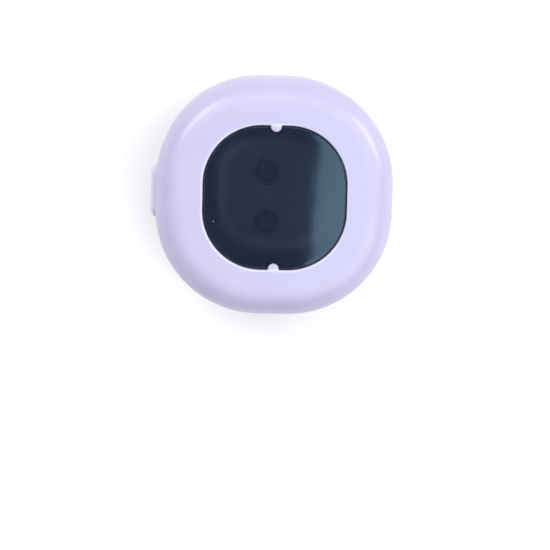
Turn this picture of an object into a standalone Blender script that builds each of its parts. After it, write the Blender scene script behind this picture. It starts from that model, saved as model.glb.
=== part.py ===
# A pocket sterilizer case: a hinged clamshell with a tinted window, an ultraviolet chamber
# behind it, a padded neck slot at its lower side and a spring loaded release button.
# Lengths are in metres. It lies on its back: X to the right, Y up the front face, Z forwards.

import math

import bmesh
import bpy
from mathutils import Matrix, Vector

# Outer body, whose width follows from the window and what stands beside it
BODY_FLAT = 0.0030  # half the straight stretch in the middle of each side
BODY_DEPTH = 0.0280
SEAM_Z = 0.0170  # where the two shells meet
SEAM_GAP = 0.0003
SEAM_CHAMFER = 0.00025
WALL = 0.0016
FRONT_EDGE = 0.0060  # radius of the rounding round the front face
BACK_EDGE = 0.0050
CORNER_STEPS = 11
EDGE_STEPS = 6
NECK_STEPS = 4
BAR_STEPS = 8  # round each end of a bar with round ends
ROUND_SIDES = 20
FINE_SIDES = 24  # of a round piece that shows
PIPE_SIDES = 10
SHARP_ANGLE = 35.0  # degrees, above which an edge isn't shaded smooth
SINK = 0.00005  # keeps the faces of two joined shapes apart

# Clearances
FIT = 0.0003  # between two pieces that seat in each other
RUN_FIT = 0.00015  # round a screw, and the size of a small bevel
PIN_FIT = 0.00010

# Window and the two half round keys that hold its pane from turning
WINDOW_HALF = 0.0151
WINDOW_FLAT = 0.0028
WINDOW_CHAMFER = 0.0004
PANE_RECESS = 0.0003
PANE_LIP = 0.0014
PANE_LIP_THICKNESS = 0.0010
KEY_RADIUS = 0.00117
KEY_REACH = 0.00133
KEY_THICKNESS = 0.0012

# Chamber
CHAMBER_STEP = 0.0003  # how far the chamber wall stands outside the window's edge
CHAMBER_WALL = 0.0012
FLOOR_Z = 0.0092
FLOOR_FILLET = 0.0060
FLOOR_STEPS = 5
LINER_DROP = 0.0008  # liner's flange below the seam
LINER_FLANGE = 0.0012
LEDGE_WIDTH = 0.0015
LEDGE_THICKNESS = 0.0010
FRAME_LIFT = 0.0006  # window frame's flange above the seam
FRAME_FLANGE = 0.0016
SEAL_OFFSET = 0.0002  # from the chamber wall's outside
SEAL_WIDTH = 0.0012
SEAL_ROUND = 0.0003
SEAL_ROOM = 0.0007  # between the seal and the hinge block

# Neck slot, lined above and below the seam
NECK_X = -0.0098
NECK_WIDTH = 0.0056
NECK_HEIGHT = 0.0060
NECK_CORNER = 0.0015
NECK_PAD = 0.0010
NECK_PAD_INSET = 0.0004

# Back cover and what it clamps
BACK_RIM = 0.0011  # flat ring of the base between its back edge and the cover
BACK_THICKNESS = 0.0018
BACK_SEAT = 0.0016  # width of the ledge under the cover's edge
BACK_SEAT_THICKNESS = 0.0012
POST_RADIUS = 0.0015
POST_SHOULDER = 0.0024
SLEEVE_WALL = 0.0008

# Screws
SCREW_RADIUS = 0.0008
SCREW_HEAD_RADIUS = 0.0016
SCREW_HEAD = 0.0007
HEAD_CROWN = 0.7  # share of the head's radius that stays flat
CROSS_REACH = 0.0009
CROSS_WIDTH = 0.0004
CROSS_DEPTH = 0.0004
HEAD_FLOOR = 0.0005  # cover left under a back screw's head
BACK_SCREW_LENGTH = 0.0050
LID_SCREW_LENGTH = 0.0046
BOSS_RADIUS = 0.0019
HEAD_POCKET = 0.0009
LID_SCREW_ANGLE = 30.0  # degrees round the corner from the nearest side

# Hinge on the right
BARREL_RADIUS = 0.0024
BARREL_FIT = 0.0003
KNUCKLE_HALF = 0.0042
PIN_RADIUS = 0.0008
PIN_HALF = 0.0090
HINGE_WALL = 0.0012
NOTCH_OFFSET = 0.0005  # inner face of the lid's side notch, outside the pin's axis
LID_OPENS = 100.0  # degrees
HINGE_SIDES = 24

# Release button, latch and catch on the left
BUTTON_LENGTH = 0.0112
BUTTON_HEIGHT = 0.0046
BUTTON_PROUD = 0.0012
BUTTON_ROUND = 0.0009
BUTTON_STEPS = 4
BUTTON_DROP = 0.0048  # button's middle below the seam
BUTTON_EAR = 0.0008
BUTTON_TRAVEL = 0.0008
EAR_THICKNESS = 0.0008
LATCH_WIDTH = 0.0052
LATCH_PLATE = 0.0012
LATCH_POST = 0.0010
HOOK_HEIGHT = 0.0009
HOOK_REACH = 0.00055
HOOK_PLAY = 0.0003
CATCH_WIDTH = 0.0044
CATCH_THICKNESS = 0.0010
CATCH_REACH = 0.0007
CATCH_INSET = 0.0020  # catch's outer face inside the shell's inner wall
CATCH_FOOT = 0.0010
SHELF_THICKNESS = 0.0009
SHELF_RIB = 0.0010

# Button springs, one each side of the latch
SPRING_RADIUS = 0.0010
SPRING_WIRE = 0.00012  # radius
SPRING_TURNS = 4.5
SPRING_Y = 0.0044
SPRING_LENGTH = 0.0040
SPRING_SEAT = 0.0012
POINTS_PER_TURN = 10

# Electronics
BOARD_THICKNESS = 0.0010
BOARD_DROP = 0.0010  # board's top below the liner's underside
BOARD_MARGIN = 0.0011
BATTERY_WIDTH = 0.0150
BATTERY_LENGTH = 0.0170
BATTERY_ROUND = 0.0010
BATTERY_GAP = 0.0005
LED_SIZE = 0.0030
LED_HEIGHT = 0.0009
LED_X = -0.00135
LED_Y = -0.0011
LED_SPREAD = 0.0055
LENS_RADIUS = 0.0025
LENS_THICKNESS = 0.0007
LENS_LEDGE = 0.00045
PIPE_RADIUS = 0.0005
PIPE_PROUD = 0.0002
PIPE_X = -0.0127
PIPE_YS = (-0.0030, -0.0066)
PORT_WIDTH = 0.00894
PORT_HEIGHT = 0.00326
PORT_DEPTH = 0.0073
PORT_SHELL = 0.0003
PORT_TONGUE = 0.0007
PORT_INSET = 0.0006
CHIP_SIZE = 0.0050
CHIP_HEIGHT = 0.0010
COIL_SIZE = 0.0040
COIL_HEIGHT = 0.0020
PLUG_WIDTH = 0.0060
PLUG_DEPTH = 0.0034
PLUG_HEIGHT = 0.0020
LEAD_RADIUS = 0.0004
LEAD_SPREAD = 0.0010
LEAD_RUN = 0.0030
LEAD_STEPS = 8
MAGNET_RADIUS = 0.0019
MAGNET_HEIGHT = 0.0018
MAGNET_INSET = 0.0036  # magnet's axis inside the shell's inner wall
POCKET_WALL = 0.0008
SENSOR_WIDTH = 0.0044
SENSOR_BOARD = 0.0008
SENSOR_CHIP = 0.0008

# Places that follow from the sizes above
SEAL_HALF = WINDOW_HALF + CHAMBER_STEP + CHAMBER_WALL + SEAL_OFFSET + SEAL_WIDTH
GROOVE_RADIUS = BARREL_RADIUS + BARREL_FIT
BODY_HALF = SEAL_HALF + SEAL_ROOM + HINGE_WALL + GROOVE_RADIUS + BARREL_RADIUS
CAVITY_HALF = BODY_HALF - WALL
SEAM_LOW = SEAM_Z - SEAM_GAP / 2
SEAM_HIGH = SEAM_Z + SEAM_GAP / 2
CHAMBER_HALF = WINDOW_HALF + CHAMBER_STEP
FLANGE_HALF = CAVITY_HALF - FIT
LINER_TOP = SEAM_Z - LINER_DROP
FLANGE_UNDER = LINER_TOP - LINER_FLANGE
LINER_UNDER = FLOOR_Z - CHAMBER_WALL
FRAME_UNDER = SEAM_Z + FRAME_LIFT
FRAME_TOP = FRAME_UNDER + FRAME_FLANGE
FACE_UNDER = BODY_DEPTH - WALL
PANE_LIP_TOP = FACE_UNDER - FIT
PANE_UNDER = PANE_LIP_TOP - PANE_LIP_THICKNESS
BOARD_TOP = LINER_UNDER - BOARD_DROP
BOARD_UNDER = BOARD_TOP - BOARD_THICKNESS
BACK_OPENING = BODY_HALF - BACK_EDGE - BACK_RIM
BACK_COVER_HALF = BACK_OPENING - FIT
SCREW_BORE = SCREW_RADIUS + RUN_FIT
SLEEVE_BORE = POST_RADIUS + FIT
SLEEVE_RADIUS = SLEEVE_BORE + SLEEVE_WALL
POST_REACH = BACK_OPENING - BACK_SEAT - FIT - SLEEVE_RADIUS
POST_XY = BODY_FLAT + (POST_REACH - BODY_FLAT) / math.sqrt(2)
HINGE_X = BODY_HALF - BARREL_RADIUS
HINGE_Z = SEAM_Z
PIN_BORE = PIN_RADIUS + PIN_FIT
BLOCK_X = HINGE_X - GROOVE_RADIUS - HINGE_WALL
BUTTON_Z = SEAM_Z - BUTTON_DROP
BUTTON_UNDER = BUTTON_Z - BUTTON_HEIGHT / 2
EAR_BACK = -CAVITY_HALF + EAR_THICKNESS
CATCH_X = -CAVITY_HALF + CATCH_INSET
CATCH_INNER = CATCH_X + CATCH_THICKNESS
CATCH_TIP = CATCH_INNER + CATCH_REACH
HOOK_TIP = CATCH_TIP + RUN_FIT
LATCH_X = HOOK_TIP + HOOK_REACH
LATCH_INNER = LATCH_X + LATCH_POST
HOOK_TOP = FLANGE_UNDER - FIT
HOOK_UNDER = HOOK_TOP - HOOK_HEIGHT
CATCH_STEP = HOOK_UNDER - HOOK_PLAY
CATCH_END = CATCH_STEP - HOOK_HEIGHT - FIT
SPRING_SEAT_X = EAR_BACK + 2 * FIT + SPRING_LENGTH
PORT_Z = BOARD_TOP + FIT + PORT_HEIGHT / 2
KEY_Y = WINDOW_HALF - KEY_REACH + KEY_RADIUS
MAGNET_Y = CAVITY_HALF - MAGNET_INSET
LID_SCREW_RING = (CHAMBER_HALF + CHAMBER_WALL + CAVITY_HALF) / 2


def reach_at(half, across, flat=BODY_FLAT):
    """How far a rounded square of this half width reaches, this far from its middle."""
    beyond = max(abs(across) - flat, 0.0)
    return flat + math.sqrt(max((half - flat) ** 2 - beyond**2, 0.0))


# The hinge pieces end where the body's side curves in past the pin's axis.
HINGE_END = reach_at(BODY_HALF, HINGE_X)


def lid_notch_height():
    """Height over the pin at which the lid's side clears the base's side at full opening."""
    angle = math.radians(LID_OPENS)
    outside = BODY_HALF - HINGE_X
    return (outside * (1 - math.cos(angle)) + BARREL_FIT) / math.sin(angle)


def chamber_surface(x, y):
    """Height of the chamber's inside surface over this point of its floor fillet."""
    out_x = max(abs(x) - WINDOW_FLAT, 0.0)
    out_y = max(abs(y) - WINDOW_FLAT, 0.0)
    half = WINDOW_FLAT + math.hypot(out_x, out_y)
    out = min(max(half - (CHAMBER_HALF - FLOOR_FILLET), 0.0), FLOOR_FILLET)
    return FLOOR_Z + FLOOR_FILLET - math.sqrt(FLOOR_FILLET**2 - out**2)


def rounded_square(half, z, flat=BODY_FLAT):
    points = []
    for quarter, (side_x, side_y) in enumerate(((1, 1), (-1, 1), (-1, -1), (1, -1))):
        for step in range(CORNER_STEPS + 1):
            angle = math.radians(90) * (quarter + step / CORNER_STEPS)
            x = side_x * flat + (half - flat) * math.cos(angle)
            y = side_y * flat + (half - flat) * math.sin(angle)
            points.append(Vector((x, y, z)))
    return points


def lofted(path, flat):
    """A rounded square at each pair of half width and height."""
    return [rounded_square(half, z, flat) for half, z in path]


def circle(radius, z, sides=ROUND_SIDES):
    turns = [2 * math.pi * (side + 0.5) / sides for side in range(sides)]
    return [Vector((radius * math.cos(t), radius * math.sin(t), z)) for t in turns]


def arc(centre, radius, start, end, steps):
    """Pairs of numbers along an arc, from one angle in degrees to another, both ends included."""
    pairs = []
    for step in range(steps + 1):
        angle = math.radians(start + (end - start) * step / steps)
        pairs.append((centre[0] + radius * math.cos(angle), centre[1] + radius * math.sin(angle)))
    return pairs


def skin(mesh, rings, closed=False):
    """Faces between rings of points. A closed skin joins the last ring to the first."""
    loops = [[mesh.verts.new(point) for point in ring] for ring in rings]
    following = loops[1:] + loops[:1] if closed else loops[1:]
    for low, high in zip(loops, following):
        for index, here in enumerate(low):
            after = (index + 1) % len(low)
            mesh.faces.new((here, low[after], high[after], high[index]))
    if not closed:
        mesh.faces.new(reversed(loops[0]))
        mesh.faces.new(loops[-1])


def new_mesh(rings, closed=False):
    mesh = bmesh.new()
    skin(mesh, rings, closed)
    return mesh


def prism(points, low, high, axis):
    """An outline of pairs pushed along an axis. The pairs are the other two axes in order."""
    places = {
        "X": lambda pair, at: Vector((at, pair[0], pair[1])),
        "Y": lambda pair, at: Vector((pair[0], at, pair[1])),
        "Z": lambda pair, at: Vector((pair[0], pair[1], at)),
    }
    place = places[axis]
    return new_mesh([[place(pair, at) for pair in points] for at in (low, high)])


def block(low, high):
    outline = [(low[0], low[1]), (high[0], low[1]), (high[0], high[1]), (low[0], high[1])]
    return prism(outline, low[2], high[2], "Z")


def turned(profile, place=(0, 0, 0), sides=ROUND_SIDES):
    """A solid turned about Z from (radius, z) pairs, with flat ends."""
    mesh = new_mesh([circle(radius, z, sides) for radius, z in profile])
    bmesh.ops.translate(mesh, verts=mesh.verts, vec=place)
    return mesh


def together(meshes):
    """Separate shapes in one mesh, for tools that cut or add the same shape in several places."""
    whole = meshes[0]
    for mesh in meshes[1:]:
        moved = {vert: whole.verts.new(vert.co) for vert in mesh.verts}
        for face in mesh.faces:
            whole.faces.new([moved[vert] for vert in face.verts])
        mesh.free()
    return whole


def stored(name, mesh):
    bmesh.ops.recalc_face_normals(mesh, faces=mesh.faces)
    data = bpy.data.meshes.new(name)
    mesh.to_mesh(data)
    mesh.free()
    obj = bpy.data.objects.new(name, data)
    bpy.context.scene.collection.objects.link(obj)
    return obj


def tool(name, mesh):
    """A shape that only cuts, trims or adds to a part."""
    obj = stored(name, mesh)
    obj.hide_render = True
    obj.display_type = "WIRE"
    return obj


def combine(target, operation, other):
    modifier = target.modifiers.new(f"{operation.lower()} {other.name}", "BOOLEAN")
    modifier.operation = operation
    modifier.object = other


def fuse(target, name, mesh):
    combine(target, "UNION", tool(name, mesh))


def carve(target, name, mesh):
    combine(target, "DIFFERENCE", tool(name, mesh))


def trim(target, name, mesh):
    combine(target, "INTERSECT", tool(name, mesh))


def material(name, colour, roughness, metallic=0.0, alpha=1.0):
    made = bpy.data.materials.new(name)
    made.use_nodes = True
    shader = made.node_tree.nodes["Principled BSDF"]
    shader.inputs["Base Color"].default_value = (*colour, 1.0)
    shader.inputs["Roughness"].default_value = roughness
    shader.inputs["Metallic"].default_value = metallic
    shader.inputs["Alpha"].default_value = alpha
    return made


def part(name, mesh, finish, parent=None):
    """A named piece. One that moves has its origin on its parent, which stands on the joint."""
    obj = stored(name, mesh)
    obj.data.materials.append(finish)
    obj.data.shade_smooth()
    obj.data.set_sharp_from_angle(angle=math.radians(SHARP_ANGLE))
    if parent:
        obj.data.transform(Matrix.Translation(-parent.location))
        obj.parent = parent
    return obj


def joint_empty(name, place):
    empty = bpy.data.objects.new(name, None)
    empty.location = place
    empty.empty_display_size = BARREL_RADIUS
    bpy.context.scene.collection.objects.link(empty)
    return empty


def corners(spread):
    return [(x * spread, y * spread) for x in (-1, 1) for y in (-1, 1)]


def lid_screw_places():
    """On the left near the side, and on the right clear of the hinge, both clear of the neck slot."""
    arm = LID_SCREW_RING - BODY_FLAT
    near = BODY_FLAT + arm * math.sin(math.radians(LID_SCREW_ANGLE))
    far = BODY_FLAT + arm * math.cos(math.radians(LID_SCREW_ANGLE))
    return [(-far, near), (-far, -near), (near, far), (near, -far)]


def neck_slot(margin, downwards, past_seam=0.0):
    """Pairs of x and z round the slot's half, from its left edge at the seam to its right one."""
    half = NECK_WIDTH / 2 + margin
    depth = NECK_HEIGHT / 2 + margin
    corner = NECK_CORNER + margin
    way = -1 if downwards else 1
    left = arc((-half + corner, depth - corner), corner, 180, 90, NECK_STEPS)
    right = arc((half - corner, depth - corner), corner, 90, 0, NECK_STEPS)
    path = [(-half, -past_seam)] + left + right + [(half, -past_seam)]
    return [(NECK_X + x, SEAM_Z + way * z) for x, z in path]


def stadium(length, height, centre, inset=0.0, steps=BAR_STEPS):
    """Pairs round a bar with round ends. The bar lies along the first axis."""
    radius = height / 2
    straight = (length - height) / 2
    right = arc((centre[0] + straight, centre[1]), radius - inset, -90, 90, steps)
    left = arc((centre[0] - straight, centre[1]), radius - inset, 90, 270, steps)
    return right + left


def hinge_rod(radius, low, high):
    """A round bar along the hinge's axis."""
    middle = Vector((HINGE_X, (low + high) / 2, HINGE_Z))
    mesh = bmesh.new()
    bmesh.ops.create_cone(
        mesh,
        cap_ends=True,
        segments=HINGE_SIDES,
        radius1=radius,
        radius2=radius,
        depth=high - low,
        matrix=Matrix.Translation(middle) @ Matrix.Rotation(math.radians(90), 4, "X"),
    )
    return mesh


def pair_of_rods(radius, near, far):
    """Round bars along the hinge's axis, either side of its middle knuckle."""
    return together([hinge_rod(radius, -far, -near), hinge_rod(radius, near, far)])


def hinge_block(low, high):
    """The solid corner behind the hinge, between two heights, up to the middle of the wall."""
    side = HINGE_END + HINGE_WALL
    return block((BLOCK_X, -side, low), (BODY_HALF, side, high))


def envelope(half):
    """The body's outline as a solid, for trimming a shape to it."""
    return new_mesh(lofted([(half, -WALL), (half, BODY_DEPTH + WALL)], BODY_FLAT))


def make_base_shell():
    round_centre = (BODY_HALF - BACK_EDGE, BACK_EDGE)
    inner_round = BACK_EDGE - WALL
    seat_under = BACK_THICKNESS + FIT
    seat_top = seat_under + BACK_SEAT_THICKNESS
    seat_angle = math.degrees(math.asin((BACK_EDGE - seat_top) / inner_round))
    ledge_top = FLANGE_UNDER - FIT
    ledge_half = CAVITY_HALF - LEDGE_WIDTH
    path = arc(round_centre, BACK_EDGE, 270, 360, EDGE_STEPS)
    path += [(BODY_HALF, SEAM_LOW - SEAM_CHAMFER), (BODY_HALF - SEAM_CHAMFER, SEAM_LOW)]
    path += [(CAVITY_HALF, SEAM_LOW), (CAVITY_HALF, ledge_top), (ledge_half, ledge_top)]
    path += [(ledge_half, ledge_top - LEDGE_THICKNESS)]
    path += [(CAVITY_HALF, ledge_top - LEDGE_THICKNESS - LEDGE_WIDTH)]
    path += arc(round_centre, inner_round, 0, -seat_angle, 2)
    path += [(BACK_OPENING - BACK_SEAT, seat_top), (BACK_OPENING - BACK_SEAT, seat_under)]
    path += [(BACK_OPENING, seat_under), (BACK_OPENING, 0)]
    shell = part("base_shell", new_mesh(lofted(path, BODY_FLAT), closed=True), lilac)

    block_low = HINGE_Z - GROOVE_RADIUS - HINGE_WALL
    corner = tool("base_hinge_block", hinge_block(block_low, SEAM_LOW - SINK))
    trim(corner, "base_hinge_block_outline", envelope(BODY_HALF - WALL / 2))
    combine(shell, "UNION", corner)
    cheek_end = HINGE_END - SINK
    knuckles = tool("base_knuckles", pair_of_rods(BARREL_RADIUS, KNUCKLE_HALF, cheek_end))
    trim(knuckles, "base_knuckles_outline", envelope(BODY_HALF - SINK))
    combine(shell, "UNION", knuckles)
    room = KNUCKLE_HALF + FIT
    carve(shell, "base_knuckle_room", hinge_rod(GROOVE_RADIUS, -room, room))
    carve(shell, "base_pin_bore", hinge_rod(PIN_BORE, -BODY_HALF, PIN_HALF + FIT))

    shelf_side = LATCH_WIDTH / 2 + FIT + SHELF_RIB
    shelf_top = BUTTON_UNDER - FIT
    fuse(shell, "latch_shelf", block(
        (-CAVITY_HALF - WALL / 2, -shelf_side, shelf_top - SHELF_THICKNESS),
        (LATCH_INNER, shelf_side, shelf_top),
    ))
    rib_start = EAR_BACK + BUTTON_TRAVEL + FIT
    ribs = []
    for low in (SINK - shelf_side, shelf_side - SHELF_RIB):
        high = low + SHELF_RIB - SINK
        ribs.append(block(
            (rib_start, low, shelf_top - SINK), (LATCH_INNER - SINK, high, shelf_top + SHELF_RIB),
        ))
    fuse(shell, "latch_ribs", together(ribs))
    ear_room = BUTTON_LENGTH / 2 + BUTTON_EAR + 2 * FIT
    carve(shell, "button_ear_room", block(
        (-CAVITY_HALF - FIT, -ear_room, shelf_top + SINK),
        (-ledge_half + WALL, ear_room, ledge_top + FIT),
    ))
    carve(shell, "button_hole", prism(
        stadium(BUTTON_LENGTH + 2 * FIT, BUTTON_HEIGHT + 2 * FIT, (0, BUTTON_Z)),
        -BODY_HALF - WALL, -CAVITY_HALF + WALL / 2, "X",
    ))
    carve(shell, "port_hole", prism(
        stadium(PORT_WIDTH + 2 * FIT, PORT_HEIGHT + 2 * FIT, (0, PORT_Z)),
        -BODY_HALF - WALL, -CAVITY_HALF + WALL, "Y",
    ))
    carve(shell, "base_neck_slot", prism(
        neck_slot(NECK_PAD + FIT, True, WALL), -BODY_HALF - WALL, -CHAMBER_HALF, "Y",
    ))


def make_back_cover():
    rim = BACK_COVER_HALF
    path = [(rim - SEAM_CHAMFER, 0), (rim, SEAM_CHAMFER), (rim, BACK_THICKNESS)]
    cover = part("back_cover", new_mesh(lofted(path, BODY_FLAT)), lilac)
    head_floor = BACK_THICKNESS - HEAD_FLOOR
    sleeves, bores, holes = [], [], []
    for x, y in corners(POST_XY):
        place = (x, y, 0)
        sleeves.append(turned([
            (SLEEVE_RADIUS, BACK_THICKNESS / 2), (SLEEVE_RADIUS, BOARD_UNDER - FIT),
        ], place))
        bores.append(turned([(SLEEVE_BORE, BACK_THICKNESS), (SLEEVE_BORE, BOARD_UNDER)], place))
        holes.append(turned([
            (SCREW_HEAD_RADIUS + FIT, -WALL), (SCREW_HEAD_RADIUS + FIT, head_floor),
            (SCREW_BORE, head_floor), (SCREW_BORE, BACK_THICKNESS + WALL / 2),
        ], place))
    fuse(cover, "sleeves", together(sleeves))
    carve(cover, "sleeve_bores", together(bores))
    carve(cover, "back_screw_holes", together(holes))
    return head_floor


def cross(place, reach, width, low, high):
    """A cross shaped bar along Z."""
    outline = []
    for quarter in range(4):
        turn = Matrix.Rotation(math.radians(90) * quarter, 2)
        for pair in ((reach, -width), (reach, width), (width, width)):
            spot = turn @ Vector(pair)
            outline.append((place[0] + spot.x, place[1] + spot.y))
    return prism(outline, low, high, "Z")


def make_screws(stem, places, seat_z, length, parent=None):
    """Pan heads under the seat's height, with a cross in each, and plain shanks above it."""
    head = SCREW_HEAD_RADIUS
    for number, (x, y) in enumerate(places, 1):
        screw = part(f"{stem}_{number}", turned([
            (head * HEAD_CROWN, seat_z - SCREW_HEAD), (head, seat_z - SCREW_HEAD / 3), (head, seat_z),
            (SCREW_RADIUS, seat_z), (SCREW_RADIUS, seat_z + length - SCREW_RADIUS),
            (SCREW_RADIUS / 2, seat_z + length),
        ], (x, y, 0)), steel, parent)
        low, high = seat_z - SCREW_HEAD - FIT, seat_z - SCREW_HEAD + CROSS_DEPTH
        carve(screw, f"{stem}_{number}_cross", cross((x, y), CROSS_REACH, CROSS_WIDTH / 2, low, high))


def make_chamber_liner():
    inner_centre = (CHAMBER_HALF - FLOOR_FILLET, FLOOR_Z + FLOOR_FILLET)
    outer_fillet = FLOOR_FILLET + CHAMBER_WALL
    wall_out = CHAMBER_HALF + CHAMBER_WALL
    underside = arc(inner_centre, outer_fillet, 270, 360, FLOOR_STEPS)[:-1]
    rings = lofted(underside + [(wall_out, FLANGE_UNDER)], WINDOW_FLAT)
    rings += lofted([(FLANGE_HALF, FLANGE_UNDER), (FLANGE_HALF, LINER_TOP)], BODY_FLAT)
    bowl = arc(inner_centre, FLOOR_FILLET, 360, 270, FLOOR_STEPS)
    rings += lofted([(CHAMBER_HALF, LINER_TOP)] + bowl, WINDOW_FLAT)
    liner = part("chamber_liner", new_mesh(rings), mirror)

    shoulder = BOARD_TOP + FIT
    posts = tool("liner_posts", together([turned([
        (POST_RADIUS, BACK_THICKNESS + FIT), (POST_RADIUS, shoulder),
        (POST_SHOULDER, shoulder), (POST_SHOULDER, FLANGE_UNDER + SINK),
    ], (x, y, 0)) for x, y in corners(POST_XY)]))
    middle = arc(inner_centre, FLOOR_FILLET + CHAMBER_WALL / 2, 270, 360, FLOOR_STEPS)
    middle.append((CHAMBER_HALF + CHAMBER_WALL / 2, LINER_TOP))
    carve(posts, "liner_bowl", new_mesh(lofted(middle, WINDOW_FLAT)))
    combine(liner, "UNION", posts)
    bore = [(SCREW_BORE, 0), (SCREW_BORE, shoulder - FIT)]
    bores = [turned(bore, (x, y, 0)) for x, y in corners(POST_XY)]
    carve(liner, "liner_post_bores", together(bores))
    seats = [block(
        (SPRING_SEAT_X, side * SPRING_Y - SPRING_SEAT, BUTTON_Z - SPRING_SEAT),
        (-CHAMBER_HALF + CHAMBER_WALL / 3, side * SPRING_Y + SPRING_SEAT, FLANGE_UNDER + SINK),
    ) for side in (-1, 1)]
    fuse(liner, "spring_seats", together(seats))
    lens_floor = FLOOR_Z - LENS_THICKNESS - FIT
    well = LENS_RADIUS + FIT
    wells = [turned([
        (well - LENS_LEDGE, LINER_UNDER - WALL), (well - LENS_LEDGE, lens_floor),
        (well, lens_floor), (well, FLOOR_Z + WALL),
    ], (LED_X, y, 0)) for y in led_rows()]
    carve(liner, "led_wells", together(wells))
    holes = [turned([
        (PIPE_RADIUS + RUN_FIT, LINER_UNDER - WALL), (PIPE_RADIUS + RUN_FIT, LINER_TOP),
    ], (PIPE_X, y, 0), PIPE_SIDES) for y in PIPE_YS]
    carve(liner, "light_pipe_holes", together(holes))
    carve(liner, "liner_neck_slot", prism(
        neck_slot(NECK_PAD + FIT, True, WALL), -BODY_HALF, 0, "Y",
    ))
    carve(liner, "catch_opening", block(
        (CATCH_X - 2 * FIT, -CATCH_WIDTH / 2 - FIT, FLANGE_UNDER - WALL),
        (CATCH_TIP + 2 * FIT, CATCH_WIDTH / 2 + FIT, LINER_TOP + WALL),
    ))
    carve(liner, "liner_hinge_room", hinge_room(FLANGE_UNDER - WALL, LINER_TOP + WALL))


def hinge_room(low, high):
    """Where a flange stops short of the hinge's solid corner."""
    side = HINGE_END + HINGE_WALL + FIT
    return block((BLOCK_X - FIT, -side, low), (BODY_HALF, side, high))


def led_rows():
    return (LED_Y - LED_SPREAD, LED_Y + LED_SPREAD)


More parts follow.
